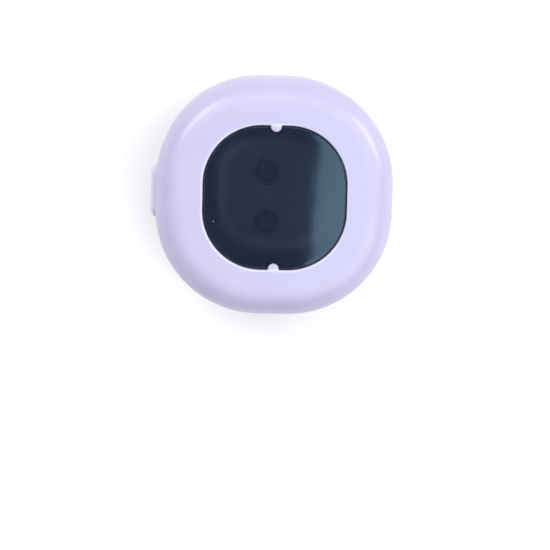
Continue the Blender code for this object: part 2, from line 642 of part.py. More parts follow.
def make_electronics():
    board_half = CAVITY_HALF - BOARD_MARGIN
    board = part("main_board", new_mesh(lofted([
        (board_half, BOARD_UNDER), (board_half, BOARD_TOP),
    ], BODY_FLAT)), green)
    holes = [turned([
        (SLEEVE_BORE, BOARD_UNDER - WALL), (SLEEVE_BORE, BOARD_TOP + WALL),
    ], (x, y, 0)) for x, y in corners(POST_XY)]
    carve(board, "board_holes", together(holes))

    cell_low, cell_high = BACK_THICKNESS + FIT, BOARD_UNDER - BATTERY_GAP
    cell = block(
        (-BATTERY_WIDTH / 2, -BATTERY_LENGTH / 2, cell_low),
        (BATTERY_WIDTH / 2, BATTERY_LENGTH / 2, cell_high),
    )
    soften(cell, BATTERY_ROUND)
    part("battery", cell, silver)
    plug_y = BATTERY_LENGTH / 2 + LEAD_RUN
    plug_z = BOARD_UNDER - FIT
    part("battery_connector", block(
        (-PLUG_WIDTH / 2, plug_y, plug_z - PLUG_HEIGHT), (PLUG_WIDTH / 2, plug_y + PLUG_DEPTH, plug_z),
    ), ivory)
    lead_start = Vector((0, BATTERY_LENGTH / 2 + FIT + SINK, (cell_low + cell_high) / 2))
    lead_end = Vector((0, plug_y - FIT - SINK, plug_z - PLUG_HEIGHT / 2))
    for name, side, finish in (("positive", -1, red), ("negative", 1, black)):
        across = Vector((side * LEAD_SPREAD, 0, 0))
        route = lead_route(lead_start + across, lead_end + across)
        make_wire(f"battery_lead_{name}", route, LEAD_RADIUS, finish, 2)

    chip_x = board_half - CHIP_SIZE
    chip_y = -CHIP_SIZE
    part("controller_chip", block(
        (chip_x - CHIP_SIZE / 2, chip_y - CHIP_SIZE / 2, BOARD_TOP + FIT),
        (chip_x + CHIP_SIZE / 2, chip_y + CHIP_SIZE / 2, BOARD_TOP + FIT + CHIP_HEIGHT),
    ), black)
    coil_y = CHIP_SIZE / 2
    coil = block(
        (chip_x - COIL_SIZE / 2, coil_y - COIL_SIZE / 2, BOARD_TOP + FIT),
        (chip_x + COIL_SIZE / 2, coil_y + COIL_SIZE / 2, BOARD_TOP + FIT + COIL_HEIGHT),
    )
    soften(coil, PIPE_RADIUS)
    part("booster_coil", coil, charcoal)

    for number, y in enumerate(led_rows(), 1):
        half = LED_SIZE / 2
        part(f"uv_led_{number}", block(
            (LED_X - half, y - half, BOARD_TOP + FIT),
            (LED_X + half, y + half, BOARD_TOP + FIT + LED_HEIGHT),
        ), ivory)
        lens = turned([
            (LENS_RADIUS, FLOOR_Z - LENS_THICKNESS), (LENS_RADIUS, FLOOR_Z - RUN_FIT),
            (LENS_RADIUS - RUN_FIT, FLOOR_Z),
        ], (LED_X, y, 0), FINE_SIDES)
        part(f"uv_lens_{number}", lens, quartz)
    for number, y in enumerate(PIPE_YS, 1):
        top = chamber_surface(PIPE_X, y) + PIPE_PROUD
        pipe = turned([
            (PIPE_RADIUS, BOARD_TOP + FIT), (PIPE_RADIUS, top - PIPE_RADIUS / 2), (PIPE_RADIUS / 2, top),
        ], (PIPE_X, y, 0), PIPE_SIDES)
        part(f"light_pipe_{number}", pipe, quartz)

    face = -reach_at(BODY_HALF, PORT_WIDTH / 2) + PORT_INSET
    rear = face + PORT_DEPTH
    outside = stadium(PORT_WIDTH, PORT_HEIGHT, (0, PORT_Z))
    port = part("usb_port", prism(outside, face, rear, "Y"), steel)
    carve(port, "port_mouth", prism(
        stadium(PORT_WIDTH - 2 * PORT_SHELL, PORT_HEIGHT - 2 * PORT_SHELL, (0, PORT_Z)),
        face - WALL, rear - PORT_SHELL, "Y",
    ))
    tongue_half = PORT_WIDTH / 2 - PORT_HEIGHT / 2
    fuse(port, "port_tongue", block(
        (-tongue_half, face + PORT_TONGUE, PORT_Z - PORT_TONGUE / 2),
        (tongue_half, rear - PORT_SHELL / 2, PORT_Z + PORT_TONGUE / 2),
    ))

    back = MAGNET_Y + SENSOR_BOARD / 2
    front = back - SENSOR_BOARD
    low, high = BOARD_TOP + FIT, FLANGE_UNDER - FIT
    chip_low = high - SENSOR_WIDTH / 2
    chip_high = high - SENSOR_CHIP / 2
    outline = [
        (front, low), (back, low), (back, high), (front, high), (front, chip_high),
        (front - SENSOR_CHIP, chip_high), (front - SENSOR_CHIP, chip_low), (front, chip_low),
    ]
    part("lid_sensor", prism(outline, -SENSOR_WIDTH / 2, SENSOR_WIDTH / 2, "X"), green)


def soften(mesh, radius):
    bmesh.ops.bevel(
        mesh, geom=mesh.edges[:], offset=radius, segments=2, profile=0.5, affect="EDGES",
        clamp_overlap=True,
    )


def lead_route(start, end):
    """A lead that leaves the cell straight, rises in a soft S and enters its plug straight."""
    route = []
    for step in range(LEAD_STEPS + 1):
        share = step / LEAD_STEPS
        point = start.lerp(end, share)
        point.z = start.z + (end.z - start.z) * share * share * (3 - 2 * share)
        route.append(point)
    return route


def make_wire(name, points, radius, finish, roundness):
    curve = bpy.data.curves.new(name, "CURVE")
    curve.dimensions = "3D"
    curve.bevel_depth = radius
    curve.bevel_resolution = roundness
    curve.use_fill_caps = True
    spline = curve.splines.new("POLY")
    spline.points.add(len(points) - 1)
    for spot, point in zip(spline.points, points):
        spot.co = (*point, 1.0)
    curve.materials.append(finish)
    bpy.context.scene.collection.objects.link(bpy.data.objects.new(name, curve))


def spring_route(y):
    """A helix along X, between the button's ear and its seat on the liner."""
    start = EAR_BACK + FIT + SPRING_WIRE
    run = SPRING_LENGTH - 2 * SPRING_WIRE
    count = round(SPRING_TURNS * POINTS_PER_TURN)
    points = []
    for step in range(count + 1):
        angle = 2 * math.pi * SPRING_TURNS * step / count
        points.append(Vector((
            start + run * step / count,
            y + SPRING_RADIUS * math.cos(angle),
            BUTTON_Z + SPRING_RADIUS * math.sin(angle),
        )))
    return points


def least_gap(points, wire):
    """The least distance between one turn of a helix and another, less the wire's own width."""
    half_turn = POINTS_PER_TURN // 2
    gaps = []
    for index, here in enumerate(points):
        for there in points[index + half_turn:]:
            gaps.append((there - here).length - 2 * wire)
    return min(gaps)


def make_button(slide):
    stations = [
        (EAR_BACK, BUTTON_LENGTH + 2 * BUTTON_EAR, 0),
        (EAR_BACK - EAR_THICKNESS, BUTTON_LENGTH + 2 * BUTTON_EAR, 0),
        (EAR_BACK - EAR_THICKNESS, BUTTON_LENGTH, 0),
    ]
    out = -BODY_HALF - BUTTON_PROUD
    for step in range(BUTTON_STEPS + 1):
        angle = math.radians(90) * step / BUTTON_STEPS
        x = out + BUTTON_ROUND * (1 - math.sin(angle))
        stations.append((x, BUTTON_LENGTH, BUTTON_ROUND * (1 - math.cos(angle))))
    rings = []
    for x, length, inset in stations:
        rings.append([Vector((x, y, z)) for y, z in stadium(length, BUTTON_HEIGHT, (0, BUTTON_Z), inset)])
    part("release_button", new_mesh(rings), lilac, slide)

    plate_top = BUTTON_UNDER + LATCH_PLATE
    outline = [
        (EAR_BACK + FIT, BUTTON_UNDER), (LATCH_INNER, BUTTON_UNDER), (LATCH_INNER, HOOK_TOP),
        (LATCH_X, HOOK_TOP), (HOOK_TIP, HOOK_TOP - HOOK_REACH), (HOOK_TIP, HOOK_UNDER),
        (LATCH_X, HOOK_UNDER), (LATCH_X, plate_top), (EAR_BACK + FIT, plate_top),
    ]
    part("latch_slider", prism(outline, -LATCH_WIDTH / 2, LATCH_WIDTH / 2, "Y"), charcoal, slide)
    for name, side in (("lower", -1), ("upper", 1)):
        route = spring_route(side * SPRING_Y)
        make_wire(f"button_spring_{name}", route, SPRING_WIRE, steel, 1)
    print(f"button spring's least gap to itself: {least_gap(route, SPRING_WIRE) * 1000:.3f} mm")


def make_lid(hinge):
    round_centre = (BODY_HALF - FRONT_EDGE, BODY_DEPTH - FRONT_EDGE)
    outside = [(BODY_HALF - SEAM_CHAMFER, SEAM_HIGH), (BODY_HALF, SEAM_HIGH + SEAM_CHAMFER)]
    outside += arc(round_centre, FRONT_EDGE, 0, 90, EDGE_STEPS + 1)
    rings = lofted(outside, BODY_FLAT)
    rings += lofted([
        (WINDOW_HALF + WINDOW_CHAMFER, BODY_DEPTH), (WINDOW_HALF, BODY_DEPTH - WINDOW_CHAMFER),
        (WINDOW_HALF, FACE_UNDER),
    ], WINDOW_FLAT)
    inside = arc(round_centre, FRONT_EDGE - WALL, 90, 0, EDGE_STEPS - 1) + [(CAVITY_HALF, SEAM_HIGH)]
    rings += lofted(inside, BODY_FLAT)
    cover = part("front_cover", new_mesh(rings, closed=True), lilac, hinge)

    key_top = BODY_DEPTH - PANE_RECESS / 2
    key_low = key_top - KEY_THICKNESS
    keys = [turned([
        (KEY_RADIUS, key_low), (KEY_RADIUS, key_top - PANE_RECESS), (KEY_RADIUS - PANE_RECESS, key_top),
    ], (0, side * KEY_Y, 0), FINE_SIDES) for side in (-1, 1)]
    fuse(cover, "window_keys", together(keys))
    boss_low = FRAME_TOP + FIT
    bosses = [turned([
        (BOSS_RADIUS, boss_low), (BOSS_RADIUS, FACE_UNDER + FIT),
    ], (x, y, 0)) for x, y in lid_screw_places()]
    fuse(cover, "lid_bosses", together(bosses))
    screw_seat = FRAME_UNDER + HEAD_POCKET - RUN_FIT
    bore_end = screw_seat + LID_SCREW_LENGTH + FIT
    bores = [turned([
        (SCREW_BORE, boss_low - WALL), (SCREW_BORE, bore_end),
    ], (x, y, 0)) for x, y in lid_screw_places()]
    carve(cover, "lid_boss_bores", together(bores))

    block_high = HINGE_Z + GROOVE_RADIUS + HINGE_WALL
    corner = tool("lid_hinge_block", hinge_block(SEAM_HIGH + SINK, block_high))
    trim(corner, "lid_hinge_block_outline", envelope(BODY_HALF - WALL / 2))
    combine(cover, "UNION", corner)
    groove_end = HINGE_END + RUN_FIT
    groove_start = KNUCKLE_HALF - SINK
    carve(cover, "lid_grooves", pair_of_rods(GROOVE_RADIUS, groove_start, groove_end))
    notch_x = HINGE_X + NOTCH_OFFSET
    notch_top = HINGE_Z + lid_notch_height()
    carve(cover, "lid_side_notch", block(
        (notch_x, -groove_end, SEAM_Z - WALL), (BODY_HALF + WALL, groove_end, notch_top),
    ))
    fuse(cover, "lid_knuckle", hinge_rod(BARREL_RADIUS, -KNUCKLE_HALF, KNUCKLE_HALF))
    arm_side = KNUCKLE_HALF - SINK
    fuse(cover, "lid_knuckle_arm", block(
        (HINGE_X - BARREL_RADIUS + SINK, -arm_side, HINGE_Z),
        (notch_x - SINK, arm_side, notch_top + SINK),
    ))
    carve(cover, "lid_pin_bore", hinge_rod(PIN_BORE, -groove_end, groove_end))
    carve(cover, "lid_neck_slot", prism(
        neck_slot(NECK_PAD + FIT, False, WALL), -BODY_HALF - WALL, -WINDOW_HALF, "Y",
    ))

    pane_half = WINDOW_HALF - FIT
    pane_top = BODY_DEPTH - PANE_RECESS
    pane = part("window_pane", new_mesh(lofted([
        (WINDOW_HALF + PANE_LIP, PANE_UNDER), (WINDOW_HALF + PANE_LIP, PANE_LIP_TOP),
        (pane_half, PANE_LIP_TOP), (pane_half, pane_top - RUN_FIT), (pane_half - RUN_FIT, pane_top),
    ], WINDOW_FLAT)), smoked, hinge)
    notches = [turned([
        (KEY_RADIUS + FIT, key_low - FIT), (KEY_RADIUS + FIT, BODY_DEPTH + WALL),
    ], (0, side * KEY_Y, 0), FINE_SIDES) for side in (-1, 1)]
    carve(pane, "pane_notches", together(notches))

    wall_out = CHAMBER_HALF + CHAMBER_WALL
    rings = lofted([
        (CHAMBER_HALF, FRAME_UNDER), (CHAMBER_HALF, PANE_UNDER - FIT),
        (wall_out, PANE_UNDER - FIT), (wall_out, FRAME_TOP),
    ], WINDOW_FLAT)
    rings += lofted([(FLANGE_HALF, FRAME_TOP), (FLANGE_HALF, FRAME_UNDER)], BODY_FLAT)
    frame = part("window_frame", new_mesh(rings, closed=True), mirror, hinge)
    pocket_low, pocket_high = FRAME_TOP - FIT, FRAME_TOP + MAGNET_HEIGHT
    pocket_bore = MAGNET_RADIUS + RUN_FIT
    pocket_outside = pocket_bore + POCKET_WALL
    pocket = new_mesh([
        circle(pocket_outside, pocket_low), circle(pocket_outside, pocket_high),
        circle(pocket_bore, pocket_high), circle(pocket_bore, pocket_low),
    ], closed=True)
    bmesh.ops.translate(pocket, verts=pocket.verts, vec=(0, MAGNET_Y, 0))
    fuse(frame, "magnet_pocket", pocket)
    head_bore, pocket_top = SCREW_HEAD_RADIUS + FIT, FRAME_UNDER + HEAD_POCKET
    holes = [turned([
        (head_bore, FRAME_UNDER - WALL), (head_bore, pocket_top),
        (SCREW_BORE, pocket_top), (SCREW_BORE, FRAME_TOP + WALL),
    ], (x, y, 0)) for x, y in lid_screw_places()]
    carve(frame, "lid_screw_holes", together(holes))
    carve(frame, "catch_slot", block(
        (CATCH_X - FIT, -CATCH_WIDTH / 2 - FIT, FRAME_UNDER - WALL),
        (CATCH_TIP + FIT, CATCH_WIDTH / 2 + FIT, FRAME_TOP + WALL),
    ))
    carve(frame, "frame_neck_slot", prism(
        neck_slot(NECK_PAD + FIT, False, WALL), -BODY_HALF, 0, "Y",
    ))
    carve(frame, "frame_hinge_room", hinge_room(FRAME_UNDER - WALL, FRAME_TOP + WALL))
    make_screws("lid_screw", lid_screw_places(), screw_seat, LID_SCREW_LENGTH, hinge)

    foot_low = FRAME_TOP + FIT
    foot_high = foot_low + CATCH_FOOT
    outline = [
        (CATCH_X - CATCH_FOOT, foot_low), (CATCH_X, foot_low), (CATCH_X, CATCH_END + CATCH_THICKNESS / 2),
        (CATCH_X + CATCH_THICKNESS / 2, CATCH_END), (CATCH_INNER, CATCH_END),
        (CATCH_TIP, CATCH_STEP - FIT), (CATCH_TIP, CATCH_STEP), (CATCH_INNER, CATCH_STEP),
        (CATCH_INNER, foot_low), (CATCH_TIP + 2 * CATCH_FOOT, foot_low),
        (CATCH_TIP + 2 * CATCH_FOOT, foot_high), (CATCH_X - CATCH_FOOT, foot_high),
    ]
    part("lid_catch", prism(outline, -CATCH_WIDTH / 2, CATCH_WIDTH / 2, "Y"), charcoal, hinge)
    magnet_low = FRAME_TOP + FIT
    part("lid_magnet", turned([
        (MAGNET_RADIUS, magnet_low), (MAGNET_RADIUS, magnet_low + MAGNET_HEIGHT),
    ], (0, MAGNET_Y, 0)), steel, hinge)


def make_neck_pad(name, downwards, parent=None):
    """A soft trough that lines half of the neck slot, from the body's side to the chamber's wall."""
    outer = neck_slot(NECK_PAD, downwards, -SEAM_GAP / 2)
    inner = neck_slot(0, downwards, -SEAM_GAP / 2)
    pad = part(name, prism(outer + inner[::-1], -BODY_HALF, 0, "Y"), rubber, parent)
    far, near = BODY_HALF - NECK_PAD_INSET, CHAMBER_HALF + RUN_FIT
    low, high = 0, BODY_DEPTH
    trim(pad, f"{name}_outline", new_mesh([
        rounded_square(near, low, WINDOW_FLAT), rounded_square(far, low),
        rounded_square(far, high), rounded_square(near, high, WINDOW_FLAT),
    ], closed=True))


def make_seal():
    near = SEAL_HALF - SEAL_WIDTH
    far = SEAL_HALF
    low, high = LINER_TOP + RUN_FIT, FRAME_UNDER - RUN_FIT
    rings = lofted([
        (near, low), (far, low), (far, high - SEAL_ROUND), (far - SEAL_ROUND, high),
        (near + SEAL_ROUND, high), (near, high - SEAL_ROUND),
    ], WINDOW_FLAT)
    seal = part("chamber_seal", new_mesh(rings, closed=True), rubber)
    half = NECK_WIDTH / 2 + NECK_PAD + FIT
    carve(seal, "seal_neck_gap", block(
        (NECK_X - half, -BODY_HALF, FLANGE_UNDER), (NECK_X + half, 0, FRAME_TOP),
    ))


def make_pin():
    mesh = turned([
        (PIN_RADIUS - RUN_FIT, -PIN_HALF), (PIN_RADIUS, -PIN_HALF + RUN_FIT),
        (PIN_RADIUS, PIN_HALF - RUN_FIT), (PIN_RADIUS - RUN_FIT, PIN_HALF),
    ], sides=HINGE_SIDES)
    pin = part("hinge_pin", mesh, steel)
    pin.rotation_euler = (math.radians(90), 0, 0)
    pin.location = (HINGE_X, 0, HINGE_Z)


for old in list(bpy.data.objects):
    bpy.data.objects.remove(old, do_unlink=True)

lilac = material("lilac moulding", (0.60, 0.57, 0.84), 0.38)
mirror = material("metallised moulding", (0.55, 0.57, 0.62), 0.25, 1.0)
smoked = material("smoked pane", (0.02, 0.03, 0.06), 0.05, alpha=0.55)
steel = material("steel", (0.62, 0.62, 0.64), 0.3, 1.0)
green = material("circuit board", (0.02, 0.16, 0.07), 0.45)
silver = material("cell wrapping", (0.55, 0.56, 0.58), 0.35, 1.0)
ivory = material("ivory ceramic", (0.80, 0.78, 0.70), 0.5)
black = material("black moulding", (0.02, 0.02, 0.02), 0.5)
charcoal = material("charcoal moulding", (0.06, 0.06, 0.07), 0.4)
red = material("red insulation", (0.55, 0.02, 0.02), 0.45)
quartz = material("quartz", (0.85, 0.88, 0.92), 0.03, alpha=0.4)
rubber = material("soft grey rubber", (0.42, 0.40, 0.55), 0.7)

lid_hinge = joint_empty("lid_hinge", (HINGE_X, 0, HINGE_Z))
button_slide = joint_empty("button_slide", (EAR_BACK, 0, BUTTON_Z))

make_base_shell()
screw_floor = make_back_cover()
make_screws("back_screw", corners(POST_XY), screw_floor - RUN_FIT, BACK_SCREW_LENGTH)
make_chamber_liner()
make_electronics()
make_seal()
make_neck_pad("neck_pad_base", True)
make_pin()
make_button(button_slide)
make_lid(lid_hinge)
make_neck_pad("neck_pad_lid", False, lid_hinge)
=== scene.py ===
# The looks of a pocket sterilizer case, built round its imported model.
# Pieces are shaped in millimetres and scaled to metres when they are kept.
import math

import bmesh
import bpy
from bmesh.types import BMEdge, BMVert
from mathutils import Matrix, Vector


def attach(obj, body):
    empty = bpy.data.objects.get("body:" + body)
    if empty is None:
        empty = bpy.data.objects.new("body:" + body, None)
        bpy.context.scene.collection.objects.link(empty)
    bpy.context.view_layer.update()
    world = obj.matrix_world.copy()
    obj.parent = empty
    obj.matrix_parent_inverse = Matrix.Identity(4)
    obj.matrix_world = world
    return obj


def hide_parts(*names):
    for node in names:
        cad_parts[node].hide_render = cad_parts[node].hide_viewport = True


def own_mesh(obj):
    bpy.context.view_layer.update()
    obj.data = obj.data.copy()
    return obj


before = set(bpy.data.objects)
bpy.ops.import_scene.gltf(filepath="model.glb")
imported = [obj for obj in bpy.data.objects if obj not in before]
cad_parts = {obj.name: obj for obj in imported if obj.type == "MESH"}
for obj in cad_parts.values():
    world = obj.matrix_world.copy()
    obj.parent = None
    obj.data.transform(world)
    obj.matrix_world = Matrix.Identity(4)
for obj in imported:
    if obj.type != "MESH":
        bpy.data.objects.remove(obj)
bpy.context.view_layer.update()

millimetre = 0.001
weld = 0.0005  # points closer than this are one


def bevelled(bm, geom, offset, segments, affect="EDGES", clamp=False):
    bmesh.ops.bevel(
        bm, geom=geom, offset=offset, affect=affect, segments=segments, profile=0.5, material=-1,
        clamp_overlap=clamp,
    )
    return bm


def wireOf(bm, profile, away, closed):
    # profile: (reach, height) pairs; a third number rounds that corner, a fourth is its segments
    points = [bm.verts.new((spot[0], away, spot[1])) for spot in profile]
    following = points[1:] + points[:1] if closed else points[1:]
    for here, there in zip(points, following):
        bm.edges.new((here, there))
    for point, spot in zip(points, profile):
        if len(spot) > 2:
            bevelled(bm, [point], spot[2], spot[3] if len(spot) > 3 else 3, "VERTICES")


def only(parts, *kinds):
    return [part for part in parts if isinstance(part, kinds)]


def sweep(profile, corner=(0, 0), closed=False, steps=20):
    # Carries the profile round a rounded rectangle that has corner as one of its corners' centres,
    # or round a circle when both numbers are nothing.
    bm = bmesh.new()
    cornerX, cornerY = corner
    wireOf(bm, profile, cornerY, closed)
    moving = bm.verts[:] + bm.edges[:]
    if cornerX == 0 and cornerY == 0:
        bmesh.ops.spin(
            bm, geom=moving, cent=(0, 0, 0), axis=(0, 0, 1), angle=math.tau, steps=steps * 4, use_merge=True,
        )
    else:
        sides = (
            (1, 1, -2 * cornerX, 0), (-1, 1, 0, -2 * cornerY),
            (-1, -1, 2 * cornerX, 0), (1, -1, 0, 2 * cornerY),
        )
        for sideX, sideY, alongX, alongY in sides:
            spun = bmesh.ops.spin(
                bm, geom=moving, cent=(sideX * cornerX, sideY * cornerY, 0), axis=(0, 0, 1),
                angle=math.pi / 2, steps=steps,
            )
            moving = spun["geom_last"]
            if alongX or alongY:
                pushed = bmesh.ops.extrude_edge_only(bm, edges=only(moving, BMEdge))["geom"]
                moving = only(pushed, BMVert, BMEdge)
                bmesh.ops.translate(bm, verts=only(moving, BMVert), vec=(alongX, alongY, 0))
    bmesh.ops.remove_doubles(bm, verts=bm.verts, dist=weld)
    return bm


def sealed(bm):
    # Closes what is open and turns every face outwards.
    edges = [edge for edge in bm.edges if edge.is_boundary]
    if edges:
        bmesh.ops.holes_fill(bm, edges=edges, sides=0)
    bmesh.ops.recalc_face_normals(bm, faces=bm.faces)
    return bm


def solid(profile, corner=(0, 0), closed=False, steps=20):
    return sealed(sweep(profile, corner, closed, steps))


def bridged(bm, height):
    # Joins the two open loops at one height. The inner one is lifted meanwhile, since loops in one plane
    # can be paired crosswise.
    edges = []
    for edge in bm.edges:
        if edge.is_boundary and all(abs(vert.co.z - height) < 2 * weld for vert in edge.verts):
            edges.append(edge)
    verts = {vert for edge in edges for vert in edge.verts}
    away = [vert.co.xy.length for vert in verts]
    split = (min(away) + max(away)) / 2
    inner = [vert for vert in verts if vert.co.xy.length < split]
    lift = 5
    bmesh.ops.translate(bm, verts=inner, vec=(0, 0, lift))
    bmesh.ops.bridge_loops(bm, edges=edges)
    bmesh.ops.translate(bm, verts=inner, vec=(0, 0, -lift))


def meshOf(bm, name):
    data = bpy.data.meshes.new(name)
    bm.to_mesh(data)
    bm.free()
    return data


def linked(name, data):
    obj = bpy.data.objects.new(name, data)
    bpy.context.scene.collection.objects.link(obj)
    return obj


def joined(*shapes):
    whole = shapes[0]
    for shape in shapes[1:]:
        data = meshOf(shape, "joining")
        whole.from_mesh(data)
        bpy.data.meshes.remove(data)
    return whole


def moved(bm, x=0, y=0, z=0):
    bmesh.ops.translate(bm, verts=bm.verts, vec=(x, y, z))
    return bm


def turned(bm, degrees, axis):
    turn = Matrix.Rotation(math.radians(degrees), 3, axis)
    bmesh.ops.rotate(bm, verts=bm.verts, cent=(0, 0, 0), matrix=turn)
    return bm


def painted(bm, index):
    for face in bm.faces:
        face.material_index = index
    return bm


def box(low, high, rounding=0, segments=2):
    bm = bmesh.new()
    middle = (Vector(low) + Vector(high)) / 2
    size = Vector(high) - Vector(low)
    bmesh.ops.create_cube(bm, size=1, matrix=Matrix.Translation(middle) @ Matrix.Diagonal((*size, 1)))
    return bevelled(bm, bm.edges[:], rounding, segments) if rounding else bm


def block(x, y, halfX, halfY, low, high, rounding=0, segments=2):
    # A box by its middle and half widths, from low to high.
    return box((x - halfX, y - halfY, low), (x + halfX, y + halfY, high), rounding, segments)


def rodProfile(radius, low, high, rounding=0):
    corner = (rounding, 3) if rounding else ()
    return [(0, low), (radius, low, *corner), (radius, high, *corner), (0, high)]


def rod(radius, low, high, rounding=0, steps=16):
    return solid(rodProfile(radius, low, high, rounding), steps=steps)


def atSpots(places, profile, steps):
    return [moved(solid(profile, steps=steps), x, y) for x, y in places]


def softened(bm, width, segments=2, angle=30):
    edges = [
        edge for edge in bm.edges
        if len(edge.link_faces) == 2 and edge.calc_face_angle(0) > math.radians(angle)
    ]
    return bevelled(bm, edges, width, segments, clamp=True)


def copyOf(node):
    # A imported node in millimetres, its flat faces made whole again.
    bm = bmesh.new()
    bm.from_mesh(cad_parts[node].data)
    bmesh.ops.transform(bm, matrix=Matrix.Scale(1000, 4), verts=bm.verts)
    bmesh.ops.remove_doubles(bm, verts=bm.verts, dist=2 * weld)
    bmesh.ops.dissolve_limit(bm, angle_limit=math.radians(0.5), verts=bm.verts, edges=bm.edges)
    return painted(bm, 0)


def combined(bm, tool, operation):
    target, other = (linked("working", meshOf(shape, "working")) for shape in (bm, tool))
    modifier = target.modifiers.new("shape", "BOOLEAN")
    modifier.operation = operation
    modifier.solver = "EXACT"
    modifier.object = other
    bpy.context.view_layer.update()
    shape = target.evaluated_get(bpy.context.evaluated_depsgraph_get()).to_mesh()
    result = bmesh.new()
    result.from_mesh(shape)
    for obj in (target, other):
        data = obj.data
        bpy.data.objects.remove(obj)
        bpy.data.meshes.remove(data)
    return result


def carved(bm, *tools):
    return combined(bm, joined(*tools), "DIFFERENCE")


def grown(bm, *tools):
    return combined(bm, joined(*tools), "UNION")


def common(bm, tool):
    return combined(bm, tool, "INTERSECT")


def kept(name, bm, finishes, body, node, sharp=None):
    # The finished piece, in metres, rides on its body. It is shaded smooth up to its sharp edges, and
    # evenly, unless sharp gives an angle of its own.
    bmesh.ops.transform(bm, matrix=Matrix.Scale(millimetre, 4), verts=bm.verts)
    data = meshOf(bm, name)
    data.shade_smooth()
    data.set_sharp_from_angle(angle=math.radians(sharp or 32))
    for finish in finishes:
        data.materials.append(finish)
    obj = linked(name, data)
    if sharp is None:
        modifier = obj.modifiers.new("even shading", "WEIGHTED_NORMAL")
        modifier.keep_sharp = True
    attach(obj, body)
    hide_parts(node)
    print(f"{name}: {len(data.polygons)} faces")
    return obj


def sumOf(operation, reflected=False):
    def run(self, other=0):
        terms = (other, self) if reflected else (self, other)
        return self.bench.node("Math", {"operation": operation}, dict(enumerate(terms)))
    return run


class Value:
    # A socket that takes part in sums like a number.
    def __init__(self, bench, socket):
        self.bench = bench
        self.socket = socket

    __add__ = sumOf("ADD")
    __radd__ = sumOf("ADD", True)
    __sub__ = sumOf("SUBTRACT")
    __rsub__ = sumOf("SUBTRACT", True)
    __mul__ = sumOf("MULTIPLY")
    __rmul__ = sumOf("MULTIPLY", True)
    __pow__ = sumOf("POWER")
    __abs__ = sumOf("ABSOLUTE")
    __gt__ = sumOf("GREATER_THAN")
    __lt__ = sumOf("LESS_THAN")
    most = sumOf("MAXIMUM")
    fraction = sumOf("FRACT")

    def within(self, low, high):
        # From 0 at low to 1 at high, smoothly.
        return self.bench.node(
            "MapRange", {"interpolation_type": "SMOOTHSTEP"},
            {"Value": self, "From Min": low, "From Max": high},
        )


class NodeBench:
    def __init__(self, tree):
        self.tree = tree

    def node(self, kind, settings, sockets, output=None):
        made = self.tree.nodes.new("ShaderNode" + kind)
        for name, value in settings.items():
            setattr(made, name, value)
        for key, value in sockets.items():
            if isinstance(value, Value):
                self.tree.links.new(value.socket, made.inputs[key])
            else:
                made.inputs[key].default_value = value
        if output:
            return Value(self, made.outputs[output])
        return Value(self, next(socket for socket in made.outputs if socket.enabled))

    def axes(self, place):
        split = self.node("SeparateXYZ", {}, {0: place}, "X")
        return [Value(self, split.socket.node.outputs[axis]) for axis in "XYZ"]


class Finish(NodeBench):
    # A material on the piece's own coordinates, in millimetres.
    def __init__(self, name, **constants):
        self.material = bpy.data.materials.new(name)
        self.material.use_nodes = True
        super().__init__(self.material.node_tree)
        self.shader = self.tree.nodes["Principled BSDF"]
        self.use(**constants)
        place = self.node("TexCoord", {}, {}, "Object")
        self.place = self.node("VectorMath", {"operation": "SCALE"}, {0: place, "Scale": 1000})
        self.x, self.y, self.z = self.axes(self.place)

    def noise(self, scale, detail=2, place=None, roughness=0.5, distortion=0):
        return self.node(
            "TexNoise", {},
            {"Vector": place or self.place, "Scale": scale, "Detail": detail, "Roughness": roughness,
             "Distortion": distortion}, "Fac",
        )

    def cells(self, scale, place=None, feature="F1", randomness=1):
        return self.node(
            "TexVoronoi", {"feature": feature},
            {"Vector": place or self.place, "Scale": scale, "Randomness": randomness}, "Distance",
        )

    def specks(self, scale, core, rim):
        # 1 within the core of each scattered speck, 0 outside its rim
        return 1 - self.cells(scale).within(core, rim)

    def stretched(self, x, y, z, shift=(0, 0, 0)):
        return self.node(
            "Mapping", {}, {"Vector": self.place, "Scale": (x, y, z), "Location": shift},
        )

    def mix(self, first, second, factor):
        first = first if isinstance(first, Value) else (*first, 1)
        second = second if isinstance(second, Value) else (*second, 1)
        return self.node("Mix", {"data_type": "RGBA"}, {0: factor, 6: first, 7: second})

    def bump(self, height, depth, normal=None):
        # depth in millimetres for a height from 0 to 1
        sockets = {"Height": height, "Distance": depth * millimetre, "Strength": 1}
        if normal:
            sockets["Normal"] = normal
        return self.node("Bump", {}, sockets)

    def use(self, **links):
        for name, value in links.items():
            socket = self.shader.inputs[name.replace("_", " ")]
            if isinstance(value, Value):
                self.tree.links.new(value.socket, socket)
            else:
                socket.default_value = value
        return self.material


def between(pair, share):
    low, high = pair
    return low + (high - low) * share


def darker(colour, share):
    return tuple(part * share for part in colour)


# Scales are in features to a millimetre, depths and places in millimetres.
shellFinish = {
    "colour": (0.532, 0.5, 0.715), "shade": (0.514, 0.482, 0.696), "roughness": (0.36, 0.44), "coat": 0.5,
    "grain": 7, "grainDepth": 0.0012, "wave": 0.35, "waveDepth": 0.01, "dust": 0.1,
    # rim is a lighter lilac painted on the window's rim: a painted highlight
    "rim": (0.66, 0.64, 0.84), "rimRoughness": 0.16, "rimFrom": 12.1, "rimTo": 12.72, "rimFlat": 2.8,
    "rimHeight": 27.3,
}
# The button's lilac is painted lighter than the case's, as painted light: it stands in for the light that
# the case's wall shades from the button.
buttonFinish = shellFinish | {"colour": (0.68, 0.655, 0.84), "shade": (0.66, 0.635, 0.82)}


